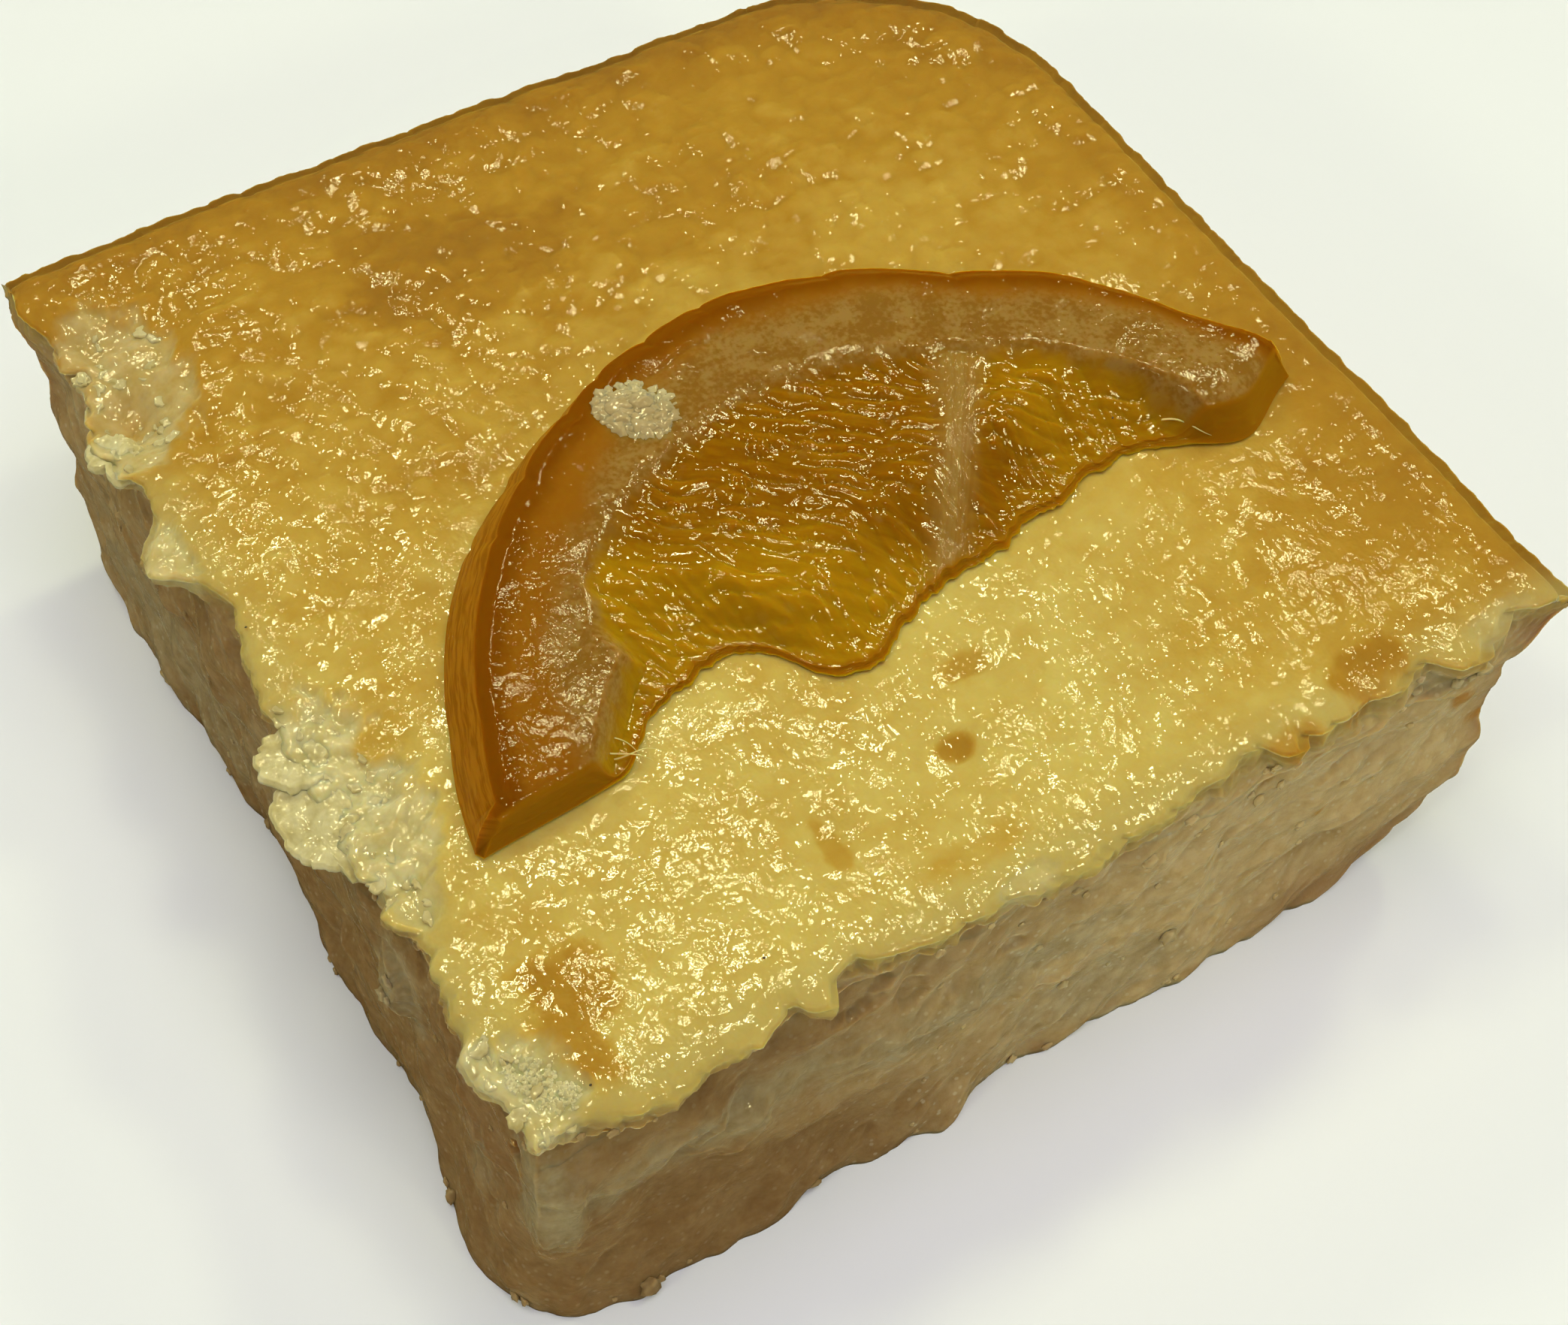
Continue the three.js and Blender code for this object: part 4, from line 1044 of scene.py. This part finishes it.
def build_slice(material):
    """One closed loop of base, outer wall, top and inner wall at each station along the arc."""
    even = np.arange(SLICE_STATIONS + 1) / SLICE_STATIONS
    share = SLICE_END_GAP + (1 - 2 * SLICE_END_GAP) * lerp(even, smooth(even, 0, 1), 0.5)
    outer_foot, inner_foot = peel_edge(share), cut_edge(share)
    top_outer, top_inner = top_edges(share)

    q_base = np.arange(SLICE_BASE_STEPS + 1) / SLICE_BASE_STEPS
    base = lerp(inner_foot[:, None], outer_foot[:, None], q_base[None, :, None])
    base_z = slice_base(base[..., 0], base[..., 1])
    base = np.concatenate([base, base_z[..., None]], -1)
    q_even = np.arange(SLICE_TOP_STEPS + 1) / SLICE_TOP_STEPS
    q = lerp(0.5 - 0.5 * np.cos(math.pi * q_even), q_even, 0.5)
    top = lerp(top_outer[:, None], top_inner[:, None], q[None, :, None])
    x, y = top[..., 0], top[..., 1]
    across = np.linalg.norm(top_outer - top_inner, axis=-1)[:, None]
    q = np.broadcast_to(q[None, :], x.shape)
    height, shares = slice_top_height(x, y, across, q)
    top = np.concatenate([top, (slice_base(x, y) + height)[..., None]], -1)

    towards_peel = outer_foot - inner_foot
    towards_peel = towards_peel / np.linalg.norm(towards_peel, axis=-1)[:, None]
    outward = outer_foot - SLICE_CENTRE
    outward = outward / np.linalg.norm(outward, axis=-1)[:, None]
    outer_wall = slice_wall(base[:, -1], top[:, 0], share, outward, 0.25, 111)
    inner_wall = slice_wall(top[:, -1], base[:, 0], share, -towards_peel, -0.1, 113)
    loops = np.concatenate([base, outer_wall, top, inner_wall], 1)
    masks = slice_masks(share, top, across, q, shares)
    masks["up"] = loops[..., 2] - base_z[:, -1:]

    rows, size = loops.shape[:2]
    ends = [list(range(size)), list(range((rows - 1) * size, rows * size))[::-1]]
    faces = [*quads(rows, size, True)[:, ::-1], *ends]
    points = loops.reshape(-1, 3)
    piece = make_piece("candied_half_slice", points, faces, material, masks)
    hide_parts("candied_slice")


# Materials

class Shader:
    """One material's node tree; sockets and plain values are given by name."""

    def __init__(self, name):
        self.material = bpy.data.materials.new(name)
        self.material.use_nodes = True
        self.tree = self.material.node_tree
        self.surface = self.tree.nodes["Principled BSDF"]
        place = self.tree.nodes.new("ShaderNodeTexCoord")
        scale = self.tree.nodes.new("ShaderNodeVectorMath")
        scale.operation = "SCALE"
        scale.inputs["Scale"].default_value = 1 / MM
        self.tree.links.new(place.outputs["Object"], scale.inputs[0])
        self.place = scale.outputs[0]

    def put(self, node, key, value):
        socket = node.inputs[key]
        if isinstance(value, bpy.types.NodeSocket):
            self.tree.links.new(value, socket)
        else:
            socket.default_value = value

    def mask(self, name):
        node = self.tree.nodes.new("ShaderNodeAttribute")
        node.attribute_name = name
        return node.outputs["Fac"]

    def combined(self, x, y):
        node = self.tree.nodes.new("ShaderNodeCombineXYZ")
        self.put(node, 0, x)
        self.put(node, 1, y)
        return node.outputs[0]

    def noise(self, size, detail=2.0, roughness=0.5, place=None):
        node = self.tree.nodes.new("ShaderNodeTexNoise")
        self.put(node, "Vector", place or self.place)
        self.put(node, "Scale", 1 / size)
        self.put(node, "Detail", detail)
        self.put(node, "Roughness", roughness)
        return node.outputs[0]

    def dots(self, size):
        node = self.tree.nodes.new("ShaderNodeTexVoronoi")
        self.put(node, "Vector", self.place)
        self.put(node, "Scale", 1 / size)
        return node.outputs["Distance"]

    def math(self, operation, a, b, clamp):
        node = self.tree.nodes.new("ShaderNodeMath")
        node.operation = operation
        node.use_clamp = clamp
        self.put(node, 0, a)
        self.put(node, 1, b)
        return node.outputs[0]

    def times(self, a, b):
        return self.math("MULTIPLY", a, b, False)

    def plus(self, a, b, clamp=False):
        return self.math("ADD", a, b, clamp)

    def minus(self, a, b, clamp=False):
        return self.math("SUBTRACT", a, b, clamp)

    def span(self, value, low, high, out_low=0.0, out_high=1.0):
        node = self.tree.nodes.new("ShaderNodeMapRange")
        node.interpolation_type = "SMOOTHSTEP"
        for key, number in (("Value", value), ("From Min", low), ("From Max", high),
                            ("To Min", out_low), ("To Max", out_high)):
            self.put(node, key, number)
        return node.outputs[0]

    def mix(self, share, a, b):
        node = self.tree.nodes.new("ShaderNodeMix")
        node.data_type = "RGBA"
        self.put(node, 0, share)
        for index, colour in ((6, a), (7, b)):
            plain = not isinstance(colour, bpy.types.NodeSocket)
            self.put(node, index, (*colour, 1.0) if plain else colour)
        return node.outputs[2]

    def ramp(self, value, stops):
        node = self.tree.nodes.new("ShaderNodeValToRGB")
        elements = node.color_ramp.elements
        while len(elements) < len(stops):
            elements.new(0.5)
        for element, (position, colour) in zip(elements, stops):
            element.position = position
            element.color = (*colour, 1.0)
        self.put(node, 0, value)
        return node.outputs[0]

    def bump(self, height, distance, strength=1.0, under=None):
        node = self.tree.nodes.new("ShaderNodeBump")
        self.put(node, "Height", height)
        self.put(node, "Distance", distance * MM)
        self.put(node, "Strength", strength)
        if under is not None:
            self.put(node, "Normal", under)
        return node.outputs[0]

    def finish(self, **values):
        for key, value in values.items():
            self.put(self.surface, key.replace("_", " "), value)
        return self.material


# Linear colours of the crust from pale to browned, of the crumb and of the candied fruit; a gap tone
# goes between raised grains and in pores, as painted shade, and in random blotches
CRUST_TONES = [(0.0, (0.62, 0.475, 0.125)), (0.25, (0.53, 0.335, 0.055)), (0.5, (0.435, 0.23, 0.024)),
               (0.75, (0.36, 0.175, 0.018)), (1.0, (0.28, 0.13, 0.018))]
CRUST_RIM_TONE = (0.49, 0.385, 0.125)
TORN_TONE, TORN_GAP_TONE = (0.66, 0.58, 0.31), (0.50, 0.41, 0.17)
FLECK_TONE = (0.60, 0.50, 0.31)
LEDGE_TONE = (0.43, 0.30, 0.095)
CRUMB_TONE, CRUMB_GAP_TONE = (0.60, 0.44, 0.21), (0.49, 0.335, 0.135)
# damp tones: crumb darkened by syrup and by painted shade
DAMP_SHADE_TONE, DAMP_SHADE_GAP_TONE = (0.30, 0.185, 0.075), (0.215, 0.115, 0.040)
GREY_TONE, GREY_GAP_TONE = (0.42, 0.345, 0.185), (0.27, 0.205, 0.095)
SPOT_TONE = (0.40, 0.175, 0.025)
# browning by the pan, which also serves as painted pinkish reflection and shade low on the walls
BAKED_AND_SHADE_TONE = (0.255, 0.12, 0.048)
RIND_TONE = (0.205, 0.062, 0.0015)
WALL_TONE, WALL_STREAK_TONE = (0.36, 0.135, 0.006), (0.25, 0.085, 0.003)
PITH_TONE, PITH_DARK_TONE = (0.325, 0.18, 0.038), (0.25, 0.115, 0.013)
PITH_OUTER_TONE = (0.30, 0.112, 0.005)
FLESH_DARK, FLESH_LIGHT = (0.24, 0.085, 0.002), (0.42, 0.215, 0.004)
FLESH_HAZE = (0.42, 0.26, 0.07)
SPOKE_TONE, SPOKE_STRAND_TONE = (0.36, 0.22, 0.045), (0.30, 0.155, 0.025)
CUT_TONE = (0.31, 0.13, 0.003)
SYRUP_IOR = 1.5

# Waves of the wet film: length, height, noise levels between which a rippled patch begins, and the
# share of the height that is left outside the patches; then those of the fruit
CRUST_WAVES = {"length": 0.34, "height": 0.045, "from": 0.45, "to": 0.58, "calm": 0.1}
CRUMB_WAVES = {"length": 0.4, "height": 0.06, "from": 0.42, "to": 0.58, "calm": 0.15}
PITH_WAVE, PITH_WAVE_HEIGHT = 0.34, 0.042
SAC_WAVE_HEIGHT, SAC_LINE_HEIGHT = 0.06, 0.03
COAT_ROUGHNESS = 0.025


def wet(s, colour, normal, coat_normal, scatter, radius, gloss=1.0, roughness=0.5):
    """Finishes a moist food surface: soft scattering body under a thin film of syrup."""
    s.put(s.surface, "Normal", normal)
    s.put(s.surface, "Coat Normal", coat_normal)
    return s.finish(Base_Color=colour, Roughness=roughness, Specular_IOR_Level=0.0, Coat_Weight=gloss,
                    Coat_Roughness=COAT_ROUGHNESS, Coat_IOR=SYRUP_IOR, Subsurface_Weight=1.0,
                    Subsurface_Scale=scatter * MM, Subsurface_Radius=radius)


def cake_colour(s):
    """Colour of crust, crumb and torn places from the masks."""
    crust, ledge, torn, damp_and_shade = s.mask("crust"), s.mask("ledge"), s.mask("torn"), s.mask("damp_and_shade")
    mottle = s.times(s.minus(s.noise(1.6, 4.0, 0.6), 0.5), 0.2)
    # painted shade and light: the skin is browner in the valleys between its pillowy bumps and paler on
    # their tops
    shaded_valleys = s.times(s.minus(0.16, s.mask("hill")), 0.45)
    tone = s.plus(s.plus(s.mask("brown"), mottle), shaded_valleys, clamp=True)
    skin = s.ramp(tone, CRUST_TONES)
    skin = s.mix(s.times(s.mask("rim"), 0.7), skin, CRUST_RIM_TONE)
    speckle = s.times(s.minus(s.noise(0.6, 3.0, 0.6), 0.5), 0.9)
    blotches = s.plus(speckle, s.span(s.noise(2.4, 3.0, 0.6), 0.36, 0.66, -0.1, 0.3))
    # pale: the crumb's own pale grains; low between them and in the pores, where the gap tones paint
    # shade
    pale = s.plus(s.times(s.mask("pale"), 0.9), blotches, clamp=True)
    crumb = s.mix(pale, CRUMB_GAP_TONE, CRUMB_TONE)
    # syrup and painted shade darken the crumb
    crumb = s.mix(damp_and_shade, crumb, s.mix(pale, DAMP_SHADE_GAP_TONE, DAMP_SHADE_TONE))
    crumb = s.mix(s.times(s.mask("grey"), 0.75), crumb, s.mix(pale, GREY_GAP_TONE, GREY_TONE))
    flecks = s.times(s.span(s.dots(0.85), 0.10, 0.26, 0.55, 0.0), s.mask("grainy"))
    crumb = s.mix(flecks, crumb, FLECK_TONE)
    # pan browning and painted pinkish reflection and shade
    crumb = s.mix(s.times(s.mask("baked_and_shade"), 0.8), crumb, BAKED_AND_SHADE_TONE)
    edge = s.mix(s.times(damp_and_shade, 0.55), LEDGE_TONE, DAMP_SHADE_TONE)
    colour = s.mix(crust, crumb, s.mix(ledge, skin, edge))
    colour = s.mix(s.mask("spot"), colour, SPOT_TONE)
    return s.mix(torn, colour, s.mix(pale, TORN_GAP_TONE, TORN_TONE))


def syrup_film(s, waves, broad, lively=1.0):
    """Normals of the wet film: small smooth waves in patches, calmer between them."""
    patches = s.span(s.noise(2.2, 3.0, 0.6), waves["from"], waves["to"], waves["calm"], 1.0)
    share = s.times(patches, lively)
    height = s.times(s.noise(waves["length"], 2.0, 0.5), share)
    return s.bump(height, waves["height"], 1.0, broad)


def cake_material():
    """The crust: pillowy under a crinkled film."""
    s = Shader("syrup_wet_cake")
    broad = s.bump(s.noise(1.1, 2.0, 0.5), 0.11)
    film = syrup_film(s, CRUST_WAVES, broad, s.mask("lively"))
    return wet(s, cake_colour(s), broad, film, 1.0, (1.0, 0.65, 0.3), s.mask("gloss"))


def crumb_material(name, scatter, radius, gloss, relief_height):
    """Moist crumb; the smaller the piece, the shorter the way of the light inside it."""
    s = Shader(name)
    broad = s.bump(s.noise(1.1, 3.0, 0.6), relief_height)
    return wet(s, cake_colour(s), broad, syrup_film(s, CRUMB_WAVES, broad), scatter, radius, gloss)


def slice_material():
    """The candied fruit: colours from the masks, grit on the pith, dashes and lines on the flesh."""
    s = Shader("candied_fruit")
    flesh, spoke = s.mask("flesh"), s.mask("spoke")
    u, v = s.mask("sac_u"), s.mask("sac_v")
    sac_place = s.combined(s.times(u, 0.3), s.times(v, 1.6))
    streaks = s.span(s.noise(1.0, 3.0, 0.6, sac_place), 0.35, 0.68)
    light = s.times(s.mask("lower"), 0.75)
    light = s.plus(light, s.times(streaks, 0.26), clamp=True)
    light = s.plus(light, s.times(s.mask("sac"), 0.1), clamp=True)
    pulp = s.mix(light, FLESH_DARK, FLESH_LIGHT)
    pulp = s.mix(s.span(s.noise(1.4, 3.0, 0.6), 0.58, 0.74, 0.0, 0.15), pulp, FLESH_HAZE)
    cloudy = s.times(s.noise(2.2), 0.5)
    frost = s.plus(cloudy, s.times(s.noise(0.4), 0.5))
    pith = s.mix(s.span(frost, 0.42, 0.6), PITH_DARK_TONE, PITH_TONE)
    pith = s.mix(s.mask("deep"), PITH_OUTER_TONE, pith)
    colour = s.mix(s.mask("rind"), pith, RIND_TONE)
    colour = s.mix(flesh, colour, pulp)
    strand_place = s.combined(s.times(s.mask("strand"), 1.7), s.times(u, 0.16))
    strands = s.span(s.noise(1.0, 3.0, 0.6, strand_place), 0.3, 0.7)
    colour = s.mix(s.times(spoke, 0.7), colour, s.mix(strands, SPOKE_TONE, SPOKE_STRAND_TONE))
    colour = s.mix(s.mask("cut"), colour, CUT_TONE)
    along_arc = s.combined(s.times(s.mask("arc"), 0.3), s.times(s.mask("up"), 3.0))
    streak = s.span(s.noise(1.0, 3.0, 0.6, along_arc), 0.4, 0.62)
    colour = s.mix(s.mask("wall"), colour, s.mix(streak, WALL_TONE, WALL_STREAK_TONE))

    solid = s.minus(1.0, flesh, clamp=True)
    swollen = s.bump(s.noise(1.8, 2.0, 0.5), 0.1)
    grit = s.bump(s.times(s.noise(PITH_WAVE), solid), PITH_WAVE_HEIGHT, 1.0, swollen)
    dash_place = s.combined(s.times(u, 0.8), s.times(v, 2.4))
    patches = s.span(s.noise(1.8, 2.0, 0.6), 0.42, 0.56, 0.12, 1.0)
    dashes = s.times(s.noise(1.0, 2.0, 0.5, dash_place), s.times(flesh, patches))
    line_place = s.combined(s.times(u, 0.14), s.times(v, 1.6))
    lines = s.times(s.span(s.noise(1.0, 1.0, 0.5, line_place), 0.5, 0.66), flesh)
    ripples = s.bump(lines, SAC_LINE_HEIGHT, 1.0, s.bump(dashes, SAC_WAVE_HEIGHT, 1.0, grit))
    return wet(s, colour, swollen, ripples, 1.3, (1.0, 0.45, 0.1), s.mask("gloss"), 0.4)


def speck_material():
    s = Shader("dark_speck")
    return s.finish(Base_Color=(0.03, 0.015, 0.005, 1.0), Roughness=0.4)


def fibre_material():
    s = Shader("pale_fibre")
    return s.finish(Base_Color=(0.72, 0.55, 0.2, 1.0), Roughness=0.35, Subsurface_Weight=0.6,
                    Subsurface_Scale=0.5 * MM)


def floor_material():
    s = Shader("pale_floor")
    return s.finish(Base_Color=(0.85, 0.86, 0.91, 1.0), Roughness=0.7, Specular_IOR_Level=0.2)


# Studio

def add_camera():
    camera = bpy.data.objects.new("camera", bpy.data.cameras.new("camera"))
    camera.data.lens = CAMERA_LENS
    camera.data.sensor_width = 36.0
    camera.data.clip_start = 0.01
    place, aim = Vector(CAMERA_PLACE) * MM, Vector(CAMERA_AIM) * MM
    forward = (aim - place).normalized()
    level = forward.cross(Vector((0, 0, 1))).normalized()
    upright = level.cross(forward)
    roll = math.radians(CAMERA_ROLL)
    right = math.cos(roll) * level + math.sin(roll) * upright
    up = right.cross(forward)
    turn = Matrix((right, up, -forward)).transposed().to_4x4()
    camera.matrix_world = Matrix.Translation(place) @ turn
    bpy.context.scene.collection.objects.link(camera)
    bpy.context.scene.camera = camera


def add_light(name, azimuth, elevation, distance, size, power, colour, glints_only=False):
    """A round lamp that faces the piece and either lights its body or shows in its wet film."""
    light = bpy.data.objects.new(name, bpy.data.lights.new(name, "AREA"))
    light.data.shape = "DISK"
    light.data.size = size
    light.data.energy = power
    light.data.color = colour
    turn, rise = math.radians(azimuth), math.radians(elevation)
    towards = Vector((math.cos(rise) * math.cos(turn), math.cos(rise) * math.sin(turn), math.sin(rise)))
    light.location = towards * distance
    light.rotation_mode = "QUATERNION"
    light.rotation_quaternion = towards.to_track_quat("Z", "Y")
    light.visible_glossy = glints_only
    light.visible_diffuse = not glints_only
    bpy.context.scene.collection.objects.link(light)


def add_floor():
    mesh = bpy.data.meshes.new("floor")
    corners = [(a * FLOOR_REACH, b * FLOOR_REACH, 0) for a, b in ((-1, -1), (1, -1), (1, 1), (-1, 1))]
    mesh.from_pydata(corners, [], [(0, 1, 2, 3)])
    mesh.materials.append(floor_material())
    floor = bpy.data.objects.new("floor", mesh)
    bpy.context.scene.collection.objects.link(floor)
    floor.visible_glossy = False


def add_world():
    """White where the camera looks past the floor, and a dim even fill for everything else."""
    world = bpy.data.worlds.new("studio")
    bpy.context.scene.world = world
    world.use_nodes = True
    nodes, links = world.node_tree.nodes, world.node_tree.links
    path = nodes.new("ShaderNodeLightPath")
    strength = nodes.new("ShaderNodeMapRange")
    strength.inputs["To Min"].default_value = WORLD_FILL
    strength.inputs["To Max"].default_value = BACKDROP
    links.new(path.outputs["Is Camera Ray"], strength.inputs["Value"])
    background = nodes["Background"]
    background.inputs["Color"].default_value = (1.0, 0.98, 0.95, 1.0)
    links.new(strength.outputs[0], background.inputs["Strength"])
    world.cycles_visibility.glossy = False


def add_studio():
    add_world()
    for number, (azimuth, elevation) in enumerate(LAMPS):
        add_light(f"lamp_{number}", azimuth, elevation, LAMP_DISTANCE, **BODY_LAMP)
        add_light(f"glint_lamp_{number}", azimuth, elevation, LAMP_DISTANCE, **GLINT_LAMP)
    add_light("softbox", **SOFTBOX)
    add_floor()
    bpy.context.scene.view_settings.view_transform = "Standard"


add_camera()
add_studio()
cake_look = cake_material()
seam = build_crust(cake_look)
crumb_look = crumb_material("moist_crumb", 1.1, (1.0, 0.72, 0.4), 0.85, 0.09)
build_crumb(crumb_look, *seam)
grain_look = crumb_material("moist_crumb_grain", 0.5, (1.0, 0.85, 0.6), 1.0, 0.05)
flake_look = crumb_material("torn_crumb_flake", 0.5, (1.0, 0.9, 0.65), 1.0, 0.09)
chip_look = crumb_material("torn_crumb_chip", 0.12, (1.0, 0.9, 0.65), 1.0, 0.05)
build_flakes(flake_look)
build_crumbs(grain_look)
build_chips(chip_look)
build_pebbles(crumb_material("wet_pebble", 0.04, (1.0, 0.9, 0.7), 1.0, 0.03))
build_slice(slice_material())
build_pith_crumb(chip_look)
build_fibres(fibre_material())
build_specks(speck_material())
